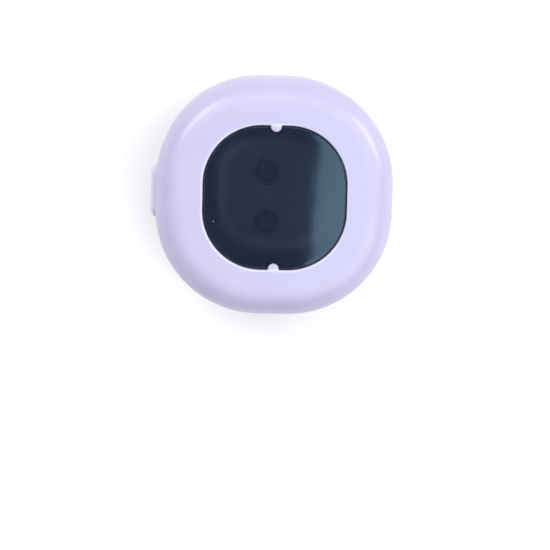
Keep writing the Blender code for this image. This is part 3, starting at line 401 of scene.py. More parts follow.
def makeShellFinish(name, look):
    mat = Finish(name, IOR=1.46, Coat_Roughness=0.27)
    patch = mat.noise(0.11)
    flow = mat.noise(0.5, 3, mat.stretched(1, 0.35, 1), roughness=0.55, distortion=0.6)
    grain = mat.noise(look["grain"], 3)
    dust = mat.specks(2.2, 0.02, 0.09)
    colour = mat.mix(look["colour"], look["shade"], patch.within(0.35, 0.65) * 0.7 + flow * 0.3)
    colour = mat.mix(colour, darker(look["shade"], 0.94), dust * look["dust"])
    rough = between(look["roughness"], flow * 0.6 + grain * 0.4) + dust * 0.03
    # The window's rim is smoother, and painted lighter as a painted highlight, in a band along its outline.
    besideX, besideY = ((abs(along) - look["rimFlat"]).most(0) for along in (mat.x, mat.y))
    reach = (besideX * besideX + besideY * besideY) ** 0.5
    rim = (reach < look["rimTo"]) * (reach > look["rimFrom"]) * (mat.z > look["rimHeight"])
    colour = mat.mix(colour, look["rim"], rim)
    rough = between((rough, look["rimRoughness"]), rim)
    wave = mat.bump(mat.noise(look["wave"]), look["waveDepth"])
    skin = mat.bump(grain, look["grainDepth"], wave)
    return mat.use(Base_Color=colour, Roughness=rough, Normal=skin, Coat_Weight=look["coat"])


paneFinish = {
    "tint": (0.0125, 0.019, 0.049), "deep": (0.0105, 0.0165, 0.041), "alpha": 0.6,
    "roughness": (0.04, 0.07), "edge": (14.2, 14.8), "wave": 0.3, "waveDepth": 0.00012,
}


def makePaneFinish(look):
    mat = Finish("smoked pane", IOR=1.58)  # high, because the alpha also thins the reflection
    mat.material.surface_render_method = "BLENDED"
    smear = mat.noise(0.16, 3, mat.stretched(1, 0.5, 1), roughness=0.6, distortion=1.2)
    hair = mat.cells(0.35, mat.stretched(1, 0.2, 1, (3, 1, 0)), "DISTANCE_TO_EDGE")
    scratch = 1 - hair.within(0.002, 0.006)
    lint = mat.specks(0.9, 0.015, 0.05)
    edge = abs(mat.x).most(abs(mat.y)).within(*look["edge"])
    rough = between(look["roughness"], smear) + lint * 0.12 + scratch * 0.02
    colour = mat.mix(look["tint"], look["deep"], smear)
    alpha = look["alpha"] + edge * 0.25 + lint * 0.03 + smear * 0.03
    normal = mat.bump(mat.noise(look["wave"]), look["waveDepth"])
    return mat.use(Base_Color=colour, Roughness=rough, Alpha=alpha, Normal=normal)


reflectorFinish = {
    "colour": (0.55, 0.6, 0.67), "shade": (0.515, 0.565, 0.635), "metallic": 0.88,
    "roughness": (0.34, 0.42), "peel": 0.9, "peelDepth": 0.003,
}


def makeReflectorFinish(name, look):
    mat = Finish(name, IOR=1.5)
    peel = mat.noise(look["peel"], 3)
    haze = mat.noise(0.22, 3, roughness=0.6, distortion=0.8)
    fine = mat.noise(9)
    colour = mat.mix(look["colour"], look["shade"], haze.within(0.3, 0.7))
    rough = between(look["roughness"], haze * 0.6 + fine * 0.4)
    normal = mat.bump(fine, 0.0008, mat.bump(peel, look["peelDepth"]))
    return mat.use(Base_Color=colour, Roughness=rough, Metallic=look["metallic"] + haze * 0.1, Normal=normal)


siliconeFinish = {
    "colour": (0.3, 0.285, 0.42), "shade": (0.25, 0.24, 0.36), "lint": (0.55, 0.54, 0.6),
    "roughness": 0.68, "grain": 11, "grainDepth": 0.003,
}


def makeSiliconeFinish(look):
    mat = Finish("soft silicone", IOR=1.41, Sheen_Weight=0.25, Sheen_Roughness=0.4)
    grain = mat.noise(look["grain"], 3)
    colour = mat.mix(look["colour"], look["shade"], mat.noise(0.8, 3))
    colour = mat.mix(colour, look["lint"], mat.specks(1.6, 0.03, 0.09) * 0.25)
    normal = mat.bump(grain, look["grainDepth"])
    return mat.use(Base_Color=colour, Roughness=look["roughness"] + grain * 0.12, Normal=normal)


def makeSteelFinish(name, colour, roughness, along):
    # Plated metal; along stretches the fine drawing marks.
    mat = Finish(name, IOR=2.5)
    marks = mat.noise(1, 4, mat.stretched(*along))
    stain = mat.noise(0.7, 3)
    tint = mat.mix(colour, darker(colour, 0.78), stain.within(0.4, 0.75))
    rough = roughness + marks * 0.14 + stain * 0.08
    return mat.use(Base_Color=tint, Metallic=1, Roughness=rough, Normal=mat.bump(marks, 0.0012))


def makeMouldedFinish(name, colour, roughness, grain=6):
    # Small technical mouldings, with a fine grain and a little bloom.
    mat = Finish(name, IOR=1.5)
    spark = mat.noise(grain, 4)
    bloom = mat.noise(0.6, 3)
    lighter = tuple(min(part * 1.5 + 0.012, 1) for part in colour)
    tint = mat.mix(colour, lighter, bloom.within(0.35, 0.8) * 0.5)
    rough = roughness + spark * 0.12 + bloom * 0.06
    return mat.use(Base_Color=tint, Roughness=rough, Normal=mat.bump(spark, 0.003))


boardFinish = {
    "mask": (0.012, 0.125, 0.05), "trace": (0.03, 0.24, 0.085), "via": (0.62, 0.47, 0.2),
    "core": (0.3, 0.27, 0.13), "hole": (0.01, 0.012, 0.01), "tile": (3.1, 2.6, 50), "lines": 1.25,
    "lineHalf": 0.17, "middle": 6.5, "faceFrom": 0.49,
}


def makeBoardFinish(look):
    # Each tile of the board carries lines along X or along Y, or none.
    mat = Finish("circuit board", IOR=1.5)
    tile = mat.node("VectorMath", {"operation": "SNAP"}, {0: mat.place, 1: look["tile"]})
    chance = mat.node("TexWhiteNoise", {"noise_dimensions": "3D"}, {"Vector": tile}, "Value")
    across, along = (
        abs((axis * look["lines"]).fraction() - 0.5) < look["lineHalf"] for axis in (mat.x, mat.y)
    )
    upright = chance > 0.5
    trace = (upright * across + (1 - upright) * along) * (chance > 0.18)
    spots = mat.cells(0.55, randomness=0.9)
    ring = spots < 0.14
    hole = spots < 0.06
    metal = ring * (1 - hole)
    flat = abs(mat.z - look["middle"]) > look["faceFrom"]
    weave = mat.noise(5, 2, mat.stretched(1, 6, 1))
    colour = mat.mix(look["mask"], look["trace"], trace)
    colour = mat.mix(colour, look["via"], metal)
    colour = mat.mix(colour, look["hole"], hole)
    return mat.use(
        Base_Color=mat.mix(look["core"], colour, flat), Metallic=metal * flat,
        Roughness=0.32 + weave * 0.12, Normal=mat.bump(trace * 0.5 + ring * 0.5 + weave * 0.1, 0.02),
        Coat_Weight=0.3,
    )


cellFinish = {
    "film": (0.62, 0.63, 0.65), "shade": (0.48, 0.49, 0.52), "tape": (0.42, 0.2, 0.03), "tapeFrom": 6.6,
}


def makeCellFinish(look):
    mat = Finish("foil pouch", IOR=1.8)
    crumple = mat.cells(0.5, feature="SMOOTH_F1")
    crease = mat.noise(2.2, 4, mat.stretched(1, 0.6, 1))
    tape = mat.y > look["tapeFrom"]
    film = mat.mix(look["film"], look["shade"], crease.within(0.35, 0.7))
    return mat.use(
        Base_Color=mat.mix(film, look["tape"], tape), Metallic=0.95 - tape * 0.9,
        Roughness=0.28 + crease * 0.15, Normal=mat.bump(crease, 0.02, mat.bump(crumple, 0.05)),
    )


def makeClearFinish(name, colour, alpha, roughness, glow=0):
    mat = Finish(name, IOR=1.46)
    mat.material.surface_render_method = "BLENDED"
    haze = mat.noise(0.8, 3)
    fleck = mat.specks(2.6, 0.02, 0.07)
    return mat.use(
        Base_Color=mat.mix(colour, darker(colour, 0.86), haze), Alpha=alpha + fleck * 0.1,
        Roughness=roughness + haze * 0.06 + fleck * 0.2, Normal=mat.bump(haze, 0.002),
        Emission_Color=mat.mix(colour, (1, 1, 1), haze), Emission_Strength=glow,
    )


lilac = makeShellFinish("satin lilac moulding", shellFinish)
# The button's finish is painted lighter than the case's, as painted light.
buttonLilacPaintedLighter = makeShellFinish("button lilac painted lighter", buttonFinish)
pane = makePaneFinish(paneFinish)
reflector = makeReflectorFinish("metallised reflector", reflectorFinish)
silicone = makeSiliconeFinish(siliconeFinish)
steelHead = makeSteelFinish("plated steel", (0.66, 0.66, 0.68), 0.24, (3, 14, 3))
steelWire = makeSteelFinish("spring wire", (0.7, 0.7, 0.72), 0.2, (18, 2, 2))
portMetal = makeSteelFinish("nickel shell", (0.7, 0.69, 0.67), 0.22, (2, 2, 16))
magnetMetal = makeSteelFinish("nickel plating", (0.74, 0.73, 0.7), 0.16, (6, 6, 1))
gold = makeSteelFinish("gold contacts", (0.9, 0.66, 0.28), 0.2, (10, 3, 3))
tinned = makeSteelFinish("tinned ends", (0.72, 0.72, 0.73), 0.34, (5, 5, 5))
charcoal = makeMouldedFinish("charcoal acetal", (0.03, 0.03, 0.036), 0.36)
blackBody = makeMouldedFinish("black epoxy", (0.014, 0.014, 0.016), 0.48, 8)
ivory = makeMouldedFinish("ivory nylon", (0.78, 0.75, 0.64), 0.42, 5)
ceramic = makeMouldedFinish("white ceramic", (0.56, 0.62, 0.68), 0.38, 10)
ferrite = makeMouldedFinish("ferrite", (0.05, 0.048, 0.052), 0.55, 4)
redSleeve = makeMouldedFinish("red insulation", (0.56, 0.02, 0.018), 0.36, 7)
blackSleeve = makeMouldedFinish("black insulation", (0.016, 0.016, 0.018), 0.38, 7)
board = makeBoardFinish(boardFinish)
cell = makeCellFinish(cellFinish)
# The quartz windows glow faintly though no lamp lights them: a faint painted glow.
quartz = makeClearFinish("quartz window", (0.6, 0.66, 0.74), 0.18, 0.05)
# The light pipes' tips glow though no lamp lights them: painted glow, bright in one and faint in the other.
pipeBrightPaintedGlow = makeClearFinish("light pipe", (0.86, 0.9, 0.96), 0.92, 0.18, 0.8)
pipeFaintPaintedGlow = makeClearFinish("dim light pipe", (0.5, 0.54, 0.62), 0.92, 0.18, 0.16)
emitter = makeClearFinish("emitter die", (0.34, 0.33, 0.24), 0.95, 0.2)
print("finishes made")

# Sizes that several pieces share. fit is the room that one part leaves to another, and sink is how far
# a shape starts inside the one it grows from.
case = {
    "half": 25, "flat": 3, "depth": 28, "wall": 1.6, "seam": 17, "seamGap": 0.3, "fit": 0.3,
    "sink": 0.05, "frontEdge": 6, "backEdge": 5, "seamRound": 0.25, "innerRound": 0.12,
}
window = {"half": 15.1, "flat": 2.8, "rim": 0.42}
hinge = {
    "x": 22.6, "z": 17, "barrel": 2.4, "groove": 2.7, "bore": 0.9, "knuckle": 4.2, "end": 12.99,
    "grooveEnd": 13.14, "block": 18.7, "blockEnd": 14.19, "blockSkin": 0.8, "roomEnd": 14.49,
}
neck = {"x": -9.8, "z": 17, "half": 2.8, "depth": 3, "corner": 1.5, "pad": 1}
buttonPlace = {"z": 12.2, "corner": (3.3, 0), "springs": 4.4}
portPlace = {"z": 8.93, "corner": (2.84, 0)}
places = {
    "keys": ((0, -14.94), (0, 14.94)),
    "lidScrews": ((-17.72, 11.5), (-17.72, -11.5), (11.5, 17.72), (11.5, -17.72)),
    "backScrews": ((-11.06, -11.06), (-11.06, 11.06), (11.06, -11.06), (11.06, 11.06)),
    "emitters": ((-1.35, -6.6), (-1.35, 4.4)),
    "pipes": ((-12.7, -3), (-12.7, -6.6)),
    "magnet": (0, 19.8),
}
cavity = case["half"] - case["wall"]
underFace = case["depth"] - case["wall"]
seamHigh = case["seam"] + case["seamGap"] / 2
seamLow = case["seam"] - case["seamGap"] / 2
caseCorner = (case["flat"], case["flat"])
windowCorner = (window["flat"], window["flat"])


def outline(half):
    # The case's outline at one size, taller than the case.
    return solid([(half, -2), (half, 30)], caseCorner)


def hingeRod(radius, low, high, steps=20, rounding=0):
    return moved(turned(rod(radius, low, high, rounding, steps), -90, "X"), hinge["x"], 0, hinge["z"])


def hingeRods(radius, near, far):
    return [hingeRod(radius, low, high) for low, high in ((-far, -near), (near, far))]


def hingeBlock(low, high):
    # Behind the wall, from one side of the hinge to the other.
    whole = box((hinge["block"], -hinge["blockEnd"], low), (case["half"], hinge["blockEnd"], high))
    return common(whole, outline(case["half"] - hinge["blockSkin"]))


def hingeRoom(low, high):
    # What the inner parts leave to the hinge's blocks.
    near, side = hinge["block"] - case["fit"], hinge["roomEnd"]
    return box((near, -side, low), (case["half"], side, high))


def neckBar(low, high):
    # The neck slot's full outline with its pad, carried along Y from low to high.
    margin = neck["pad"] + case["fit"]
    half, depth, corner = (neck[key] + margin for key in ("half", "depth", "corner"))
    bar = solid([(half, low), (half, high)], (half - corner, depth - corner), steps=8)
    return moved(turned(bar, -90, "X"), neck["x"], 0, neck["z"])


def placedLeft(bm):
    # Local X runs along the side, local Y up and local Z out to the left, at the button's height.
    turn = Matrix(((0, 0, -1, 0), (-1, 0, 0, 0), (0, 1, 0, buttonPlace["z"]), (0, 0, 0, 1)))
    bmesh.ops.transform(bm, matrix=turn, verts=bm.verts)
    return bm


coverSize = {
    "skin": [
        (18.7, underFace), (cavity, underFace, case["frontEdge"] - case["wall"], 14),
        (cavity, seamHigh, case["innerRound"]), (case["half"], seamHigh, case["seamRound"], 4),
        (case["half"], case["depth"], case["frontEdge"], 28), (18.7, case["depth"]),
    ],
    "opening": [
        (16, case["depth"]), (window["half"], case["depth"], window["rim"], 4),
        (window["half"], underFace, 0.1), (16, underFace),
    ],
    "key": [(0, 26.65), (1.17, 26.65, 0.1), (1.17, 27.99, 0.32, 4), (0, 27.99)],
    "boss": [
        (0, 19.5), (0.95, 19.5), (1.9, 19.5, 0.15), (1.9, underFace - 0.6, 0.5, 3), (2.6, underFace - 0.02),
        (2.6, underFace + 0.3), (0, underFace + 0.3),
    ],
    "bossBore": (0.95, 17, 23.25), "hingeBlock": (seamHigh + case["sink"], 20.9),
    "cheekRoom": ((23.1, -hinge["grooveEnd"], 15.4), (26.6, hinge["grooveEnd"], 20.17)),
    "arm": ((20.25, -4.15, 17), (23.05, 4.15, 20.22)), "knuckleRound": 0.15, "neck": (-26.6, -15.1),
    "sliver": 0.0002,
}


def withKnuckle(cover):
    # The lid's part of the hinge: a block, grooves for the cheeks, and the middle knuckle on its arm.
    size, knuckle, end = coverSize, hinge["knuckle"], hinge["grooveEnd"]
    cover = grown(cover, hingeBlock(*size["hingeBlock"]))
    cover = carved(cover, *hingeRods(hinge["groove"], knuckle, end))
    cover = carved(cover, box(*size["cheekRoom"]))
    cover = grown(cover, hingeRod(hinge["barrel"], -knuckle, knuckle, 20, size["knuckleRound"]))
    cover = grown(cover, box(*size["arm"]))
    return carved(cover, hingeRod(hinge["bore"], -end, end, 8))


def makeFrontCover():
    size, screws = coverSize, places["lidScrews"]
    skin, opening = sweep(size["skin"], caseCorner, steps=26), sweep(size["opening"], windowCorner, steps=26)
    cover = joined(skin, opening)
    bridged(cover, case["depth"])
    bridged(cover, underFace)
    cover = grown(sealed(cover), *atSpots(places["keys"], size["key"], 12))
    cover = grown(cover, *atSpots(screws, size["boss"], 8))
    cover = carved(cover, *atSpots(screws, rodProfile(*size["bossBore"]), 6))
    cover = carved(withKnuckle(cover), neckBar(*size["neck"]))
    bmesh.ops.remove_doubles(cover, verts=cover.verts, dist=size["sliver"])
    kept("frontCover", sealed(cover), [lilac], "lid", "front_cover")


paneSize = {
    "flange": [(12, 25.1), (16.5, 25.1, 0.1), (16.5, 26.1, 0.1)], "step": 26.1, "gap": 0.16, "top": 27.7,
    "round": 0.3, "crown": 0.08, "rings": (13.5, 12, 10, 8, 6, 4.4, 3.2),
    "notch": (1.47, 26.35, 29.6),
}


def makeWindowPane():
    # A flange under the cover and a plate in the window, a little higher in the middle.
    size, edge = paneSize, window["half"] - paneSize["gap"]
    rim = [(edge, size["step"]), (edge, size["top"] - size["crown"], size["round"], 5)]
    crown = [(reach, size["top"] - size["crown"] * (reach / edge) ** 2) for reach in size["rings"]]
    sheet = solid([*size["flange"], *rim, *crown], windowCorner, steps=26)
    sheet = carved(sheet, *atSpots(places["keys"], rodProfile(*size["notch"]), 12))
    kept("windowPane", sheet, [pane], "lid", "window_pane")


frameSize = {
    "inner": [
        (17.4, 17.6), (15.4, 17.6, 0.25), (15.4, 24.8, 0.3), (16.6, 24.8, 0.3), (16.6, 19.2, 0.4),
        (17.4, 19.2),
    ],
    "outer": [(20.4, 19.2), (23.1, 19.2, 0.3), (23.1, 17.6, 0.3), (20.4, 17.6)],
    "under": 17.6, "top": 19.2,
    "magnetCup": [(2.05, 18.9), (2.85, 18.9), (2.85, 21, 0.25), (2.05, 21, 0.15)],
    "screwHole": [(0, 16), (1.9, 16), (1.9, 18.5), (0.95, 18.5), (0.95, 20.8), (0, 20.8)],
    "catchRoom": ((-21.7, -2.5, 16), (-19.4, 2.5, 20.8)), "neck": (-25, 0), "hingeRoom": (16, 20.8),
}


def makeWindowFrame():
    size = frameSize
    ring = joined(sweep(size["inner"], windowCorner), sweep(size["outer"], caseCorner))
    bridged(ring, size["under"])
    bridged(ring, size["top"])
    ring = sealed(ring)
    cup = solid(size["magnetCup"], closed=True, steps=12)
    ring = grown(ring, moved(cup, *places["magnet"]))
    ring = carved(ring, *atSpots(places["lidScrews"], size["screwHole"], 10))
    ring = carved(ring, box(*size["catchRoom"]))
    ring = carved(ring, neckBar(*size["neck"]))
    ring = carved(ring, hingeRoom(*size["hingeRoom"]))
    kept("windowFrame", ring, [reflector], "lid", "window_frame")


# The head's heights are from its seat.
screwSize = {
    "head": [(0, -0.7), (1.15, -0.7, 0.25, 4), (1.6, -0.3, 0.2, 4), (1.6, 0, 0.05)],
    "shank": 0.8, "plain": 0.5, "pitch": 0.45, "groove": 0.3, "core": 0.66, "lastRing": 1, "point": 0.8,
    "tip": 0.4, "cross": (0.9, 0.2), "taper": (0.55, 0.6), "crossHeight": (-1, -0.3), "crossTurn": 20,
    "lid": (18.35, 4.6), "base": (1.15, 5),  # the height of the seat and the length under it
}


def crossRecess(under):
    # Two tapered arms, narrower at the floor of the recess.
    size, arms = screwSize, []
    top, floor = (under + height for height in size["crossHeight"])
    for turn in (0, 90):
        arm = block(0, 0, *size["cross"], top, floor)
        for vert in arm.verts:
            if vert.co.z > (top + floor) / 2:
                vert.co.x *= size["taper"][0]
                vert.co.y *= size["taper"][1]
        arms.append(turned(arm, turn + size["crossTurn"], "Z"))
    return grown(*arms)


def makeScrew(name, place, body, node):
    # A pan head that looks down the Z axis, with a cross recess and a plain shank with rolled rings.
    size, shank = screwSize, screwSize["shank"]
    under, length = size[body]
    end = under + length
    profile = [(reach, under + height, *rounding) for reach, height, *rounding in size["head"]]
    profile.append((shank, under))
    ring = under + size["plain"]
    while ring < end - size["lastRing"]:
        profile += [(shank, ring), (size["core"], ring + size["groove"] / 2), (shank, ring + size["groove"])]
        ring += size["pitch"]
    profile += [(shank, end - size["point"]), (size["tip"], end), (0, end)]
    screw = carved(solid(profile, steps=10), crossRecess(under))
    kept(name, moved(screw, *place), [steelHead], body, node, 28)


softEdge = {"lid_catch": (0.12, 2), "latch_slider": (0.12, 2), "lid_sensor": (0.06, 1)}


def makeSoftCopy(name, finish, body, node):
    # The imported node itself, with its edges rounded.
    kept(name, softened(copyOf(node), *softEdge[node]), [finish], body, node)


magnetSize = {"radius": 1.9, "low": 19.5, "high": 21.3, "edge": 0.18}


def makeLidMagnet():
    disc = rod(magnetSize["radius"], magnetSize["low"], magnetSize["high"], magnetSize["edge"], 12)
    disc = moved(disc, *places["magnet"])
    kept("lidMagnet", disc, [magnetMetal], "lid", "lid_magnet")


padSize = {
    "from": -26, "to": 0, "outer": 24.6, "inside": [(15.55, 4), (15.55, 26)], "edge": 0.12,
    "above": ((-20, -30, seamHigh), (0, 5, 25)), "below": ((-20, -30, 9), (0, 5, seamLow)),
}


def makeNeckPad(name, room, body, node):
    # The half of the soft tube that lies in this room, cut to the wall on both sides.
    size, near = padSize, neck["half"]
    far = near + neck["pad"]
    tube = [(near, size["from"]), (far, size["from"]), (far, size["to"]), (near, size["to"])]
    corner = (near - neck["corner"], neck["depth"] - neck["corner"])
    pad = solid(tube, corner, closed=True, steps=8)
    pad = moved(turned(pad, -90, "X"), neck["x"], 0, neck["z"])
    pad = common(pad, box(*room))
    pad = common(pad, outline(size["outer"]))
    pad = softened(carved(pad, solid(size["inside"], windowCorner)), size["edge"], 2, 40)
    kept(name, pad, [silicone], body, node)


shellSize = {
    "wall": [
        (18.9, 0, 0.15), (case["half"], 0, case["backEdge"], 22),
        (case["half"], seamLow, case["seamRound"], 4), (cavity, seamLow, case["innerRound"]),
        (cavity, 14.7), (21.9, 14.7), (21.9, 13.7), (cavity, 12.2),  # a ledge for the liner
        (cavity, 3.3, 1.2, 5), (17.3, 3.3), (17.3, 2.1), (18.9, 2.1),  # a ledge for the back cover
    ],
    "hingeBlock": (13.1, 16.8), "bore": (-25, 9.3), "neck": (-26.6, -15.4),
    "shelf": ((-cavity - 0.8, -3.9, 8.7), (-18, 3.9, 9.6)),
    "ribs": (((-21.5, -3.85, 9.55), (-18.05, -2.9, 10.6)), ((-21.5, 2.9, 9.55), (-18.05, 3.85, 10.6))),
    "earRoom": ((-cavity - 0.3, -7, 9.65), (-20.3, 7, 15)),
    "buttonHole": [(5.9, -21), (5.9, 23.6), (5.74, 23.6), (5.74, 24.8), (5.9, 25.1), (5.9, 27)],
    "portHole": [(4.77, 21), (4.77, 23.95), (5.12, 24.6), (5.12, 27)],
}


def withCheeks(shell):
    # The base's part of the hinge: a block, two cheeks, room for the lid's knuckle and the pin's bore.
    size, sink = shellSize, case["sink"]
    shell = grown(shell, hingeBlock(*size["hingeBlock"]))
    cheeks = joined(*hingeRods(hinge["barrel"], hinge["knuckle"], hinge["end"] - sink))
    shell = grown(shell, common(cheeks, outline(case["half"] - sink)))
    room = hinge["knuckle"] + case["fit"]
    shell = carved(shell, hingeRod(hinge["groove"], -room, room))
    return carved(shell, hingeRod(hinge["bore"], *size["bore"], 8))


def makeBaseShell():
    size = shellSize
    shell = withCheeks(solid(size["wall"], caseCorner, closed=True, steps=26))
    shell = grown(shell, box(*size["shelf"]))
    shell = grown(shell, *[box(*rib) for rib in size["ribs"]])
    shell = carved(shell, box(*size["earRoom"]))
    shell = carved(shell, placedLeft(solid(size["buttonHole"], buttonPlace["corner"], steps=14)))
    port = solid(size["portHole"], portPlace["corner"], steps=12)
    shell = carved(shell, moved(turned(port, 90, "X"), 0, 0, portPlace["z"]))
    shell = carved(shell, neckBar(*size["neck"]))
    kept("baseShell", shell, [lilac], "base", "base_shell")


backSize = {
    "plate": [(15, 0), (18.6, 0, 0.25, 4), (18.6, 1.8, 0.1), (15, 1.8)],
    "sleeve": (2.6, 0.9, 5.7, 0.15), "sleeveBore": (1.8, 1.8, 6),
    "screwHole": [
        (0, -1.6), (2.15, -1.6), (2.15, -0.01), (1.9, 0.22), (1.9, 1.3), (0.95, 1.3), (0.95, 2.6), (0, 2.6),
    ],
}


def makeBackCover():
    size, spots = backSize, places["backScrews"]
    plate = solid(size["plate"], caseCorner, steps=26)
    plate = grown(plate, *atSpots(spots, rodProfile(*size["sleeve"]), 12))
    plate = carved(plate, *atSpots(spots, rodProfile(*size["sleeveBore"]), 10))
    plate = carved(plate, *atSpots(spots, size["screwHole"], 12))
    kept("backCover", plate, [lilac], "base", "back_cover")


linerSize = {
    "under": [(8.8, 8), (16.6, 8, 7.2, 18), (16.6, 15, 0.4), (17.4, 15)],
    "rim": [(20.4, 15), (23.1, 15, 0.15), (23.1, 16.2, 0.3), (20.4, 16.2)],
    "bowl": [(17.4, 16.2), (15.4, 16.2, 0.35, 4), (15.4, 9.2, 6, 26), (8.8, 9.2)],
    "flange": (15, 16.2),
    "post": [(0, 2.1), (1.5, 2.1, 0.15), (1.5, 7.3), (2.4, 7.3, 0.15), (2.4, 15.05), (0, 15.05)],
    "postBore": (0.95, 0, 7), "inside": [(8.8, 8.6), (16, 8.6, 6.6, 12), (16, 16.2)],
    "seatX": -17, "seat": (1.2, 1.2, 11, 15.05, 0.15),
    "well": [
        (0, 6.4), (2.35, 6.4), (2.35, 8.2), (2.8, 8.2), (2.8, 9), (3.05, 9.25), (3.05, 10.8), (0, 10.8),
    ],
    "pipeHole": (0.65, 6.4, 16.2), "neck": (-25, 0),
    "latchRoom": ((-22, -2.5, 13.4), (-19.1, 2.5, 17.8)), "hingeRoom": (13.4, 17.8),
}


def makeChamberLiner():
    size, spots = linerSize, places["backScrews"]
    under, bowl = sweep(size["under"], windowCorner), sweep(size["bowl"], windowCorner)
    liner = joined(under, sweep(size["rim"], caseCorner), bowl)
    for height in size["flange"]:
        bridged(liner, height)
    liner = sealed(liner)
    # The posts end at the bowl's floor, and the springs' seats stand beside it.
    posts = joined(*atSpots(spots, size["post"], 10))
    liner = grown(liner, carved(posts, solid(size["inside"], windowCorner)))
    liner = carved(liner, *atSpots(spots, rodProfile(*size["postBore"]), 8))
    seats = [block(size["seatX"], side * buttonPlace["springs"], *size["seat"]) for side in (-1, 1)]
    liner = grown(liner, *seats)
    liner = carved(liner, *atSpots(places["emitters"], size["well"], 16))
    liner = carved(liner, *atSpots(places["pipes"], rodProfile(*size["pipeHole"]), 8))
    liner = carved(liner, neckBar(*size["neck"]))
    liner = carved(liner, box(*size["latchRoom"]))
    liner = carved(liner, hingeRoom(*size["hingeRoom"]))
    kept("chamberLiner", liner, [reflector], "base", "chamber_liner")


sealSize = {
    "lip": [
        (16.8, 16.35, 0.1), (18, 16.35, 0.1), (18, 16.9, 0.2), (17.75, 17.45, 0.25, 4),
        (17.05, 17.45, 0.25, 4), (16.8, 16.9, 0.2),
    ],
    "neckRoom": ((neck["x"] - 4.1, -26, 14), (neck["x"] + 4.1, 0, 20)),
}


def makeChamberSeal():
    ring = solid(sealSize["lip"], windowCorner, closed=True, steps=26)
    ring = carved(ring, box(*sealSize["neckRoom"]))
    kept("chamberSeal", ring, [silicone], "base", "chamber_seal")


pinSize = {"radius": 0.8, "half": 9, "edge": 0.15}


def makeHingePin():
    pin = hingeRod(pinSize["radius"], -pinSize["half"], pinSize["half"], 8, pinSize["edge"])
    kept("hingePin", pin, [steelHead], "base", "hinge_pin")


buttonSize = {
    "ears": [(5.9, 22.6), (6.4, 22.6, 0.15), (6.4, 23.4, 0.2), (5.9, 23.4)], "earCorner": (4.1, 0),
    "cap": [(5.6, 22.9), (5.6, 25.6, 0.3, 4), (4.7, 26.2, 0.5, 5), (4, 26.2)],
}


def makeReleaseButton():
    ears = solid(buttonSize["ears"], buttonSize["earCorner"], steps=14)
    cap = solid(buttonSize["cap"], buttonPlace["corner"], steps=14)
    button = grown(placedLeft(ears), placedLeft(cap))
    kept("releaseButton", button, [buttonLilacPaintedLighter], "button", "release_button")


springSize = {
    "start": -22.18, "run": 3.76, "radius": 1, "wire": 0.12, "turns": 4.5, "perTurn": 32, "fixed": -18.3,
}


def makeSpring(name, side, node):
    size = springSize
    steps = int(size["turns"] * size["perTurn"])
    bm = bmesh.new()
    bmesh.ops.create_circle(bm, cap_ends=False, radius=size["wire"], segments=10)
    turned(bm, 90, "X")
    moved(bm, size["radius"])
    bmesh.ops.spin(
        bm, geom=bm.verts[:] + bm.edges[:], cent=(0, 0, 0), axis=(0, 0, 1),
        dvec=(0, 0, size["run"] / steps), angle=math.tau * size["turns"], steps=steps,
    )
    turned(sealed(bm), 90, "Y")
    moved(bm, size["start"], side * buttonPlace["springs"], buttonPlace["z"])
    coil = kept(name, bm, [steelWire], "base", node, 60)
    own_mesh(coil)


boardSize = {
    "top": 7, "padTop": 7.03, "partTop": 7.5, "partHalf": (0.5, 0.25), "padHalf": (0.6, 0.3), "edge": 0.04,
    # the places of the small parts, and whether each lies along X
    "parts": (
        (12.2, -9.2, True), (12.2, -7.6, True), (12.2, -5.2, False), (12.6, 1.6, False), (13, 4.2, True),
        (9, -14, True), (10.8, -14, True), (-6.4, -15.4, False), (6.8, -16.4, False),
        (-15.6, 9.6, True), (-15.6, 11, True), (3.6, 12.6, True),
    ),
}


def makeMainBoard():
    size, bits = boardSize, []
    for x, y, along in size["parts"]:
        order = 1 if along else -1
        pads = block(x, y, *size["padHalf"][::order], size["top"], size["padTop"])
        part = block(x, y, *size["partHalf"][::order], size["padTop"], size["partTop"], size["edge"], 1)
        bits += [painted(pads, 1), painted(part, 2)]
    whole = joined(copyOf("main_board"), *bits)
    kept("mainBoard", whole, [board, tinned, blackBody], "base", "main_board", 30)


chipSize = {
    "middle": (17.3, -5), "body": (2.05, 2.05, 7.3, 8.3, 0.12), "dot": (0.25, 8, 8.5), "dotAway": 1.4,
    "feet": 6, "pitch": 0.6, "footAway": 2.25, "foot": (0.24, 0.12), "footHeight": (7.3, 7.5, 0.03, 1),
}


def makeController():
    size, pins = chipSize, []
    x, y = size["middle"]
    dot = moved(rod(*size["dot"], steps=5), x - size["dotAway"], y + size["dotAway"])
    chip = carved(block(x, y, *size["body"]), dot)
    long, wide = size["foot"]
    for step in range(size["feet"]):
        along = (step - (size["feet"] - 1) / 2) * size["pitch"]
        for away in (-size["footAway"], size["footAway"]):
            for foot in ((away, along, long, wide), (along, away, wide, long)):
                pins.append(moved(painted(block(*foot, *size["footHeight"]), 1), x, y))
    chip = joined(chip, *pins)
    kept("controllerChip", chip, [blackBody, tinned], "base", "controller_chip", 30)


coilSize = {
    "middle": (17.3, 2.5), "block": (2, 2, 7.3, 9.3, 0.5, 4), "endAway": 1.77,
    "end": (0.25, 1.2, 7.3, 7.75, 0.08), "dish": [(0, 9), (1.3, 9, 0.1), (1.5, 9.6), (0, 9.6)],
}


def makeBoosterCoil():
    size = coilSize
    x, y = size["middle"]
    dish = moved(solid(size["dish"], steps=10), x, y)
    body = carved(block(x, y, *size["block"]), dish)
    ends = [painted(block(x + side * size["endAway"], y, *size["end"]), 1) for side in (-1, 1)]
    whole = joined(body, *ends)
    kept("boosterCoil", whole, [ferrite, tinned], "base", "booster_coil", 30)


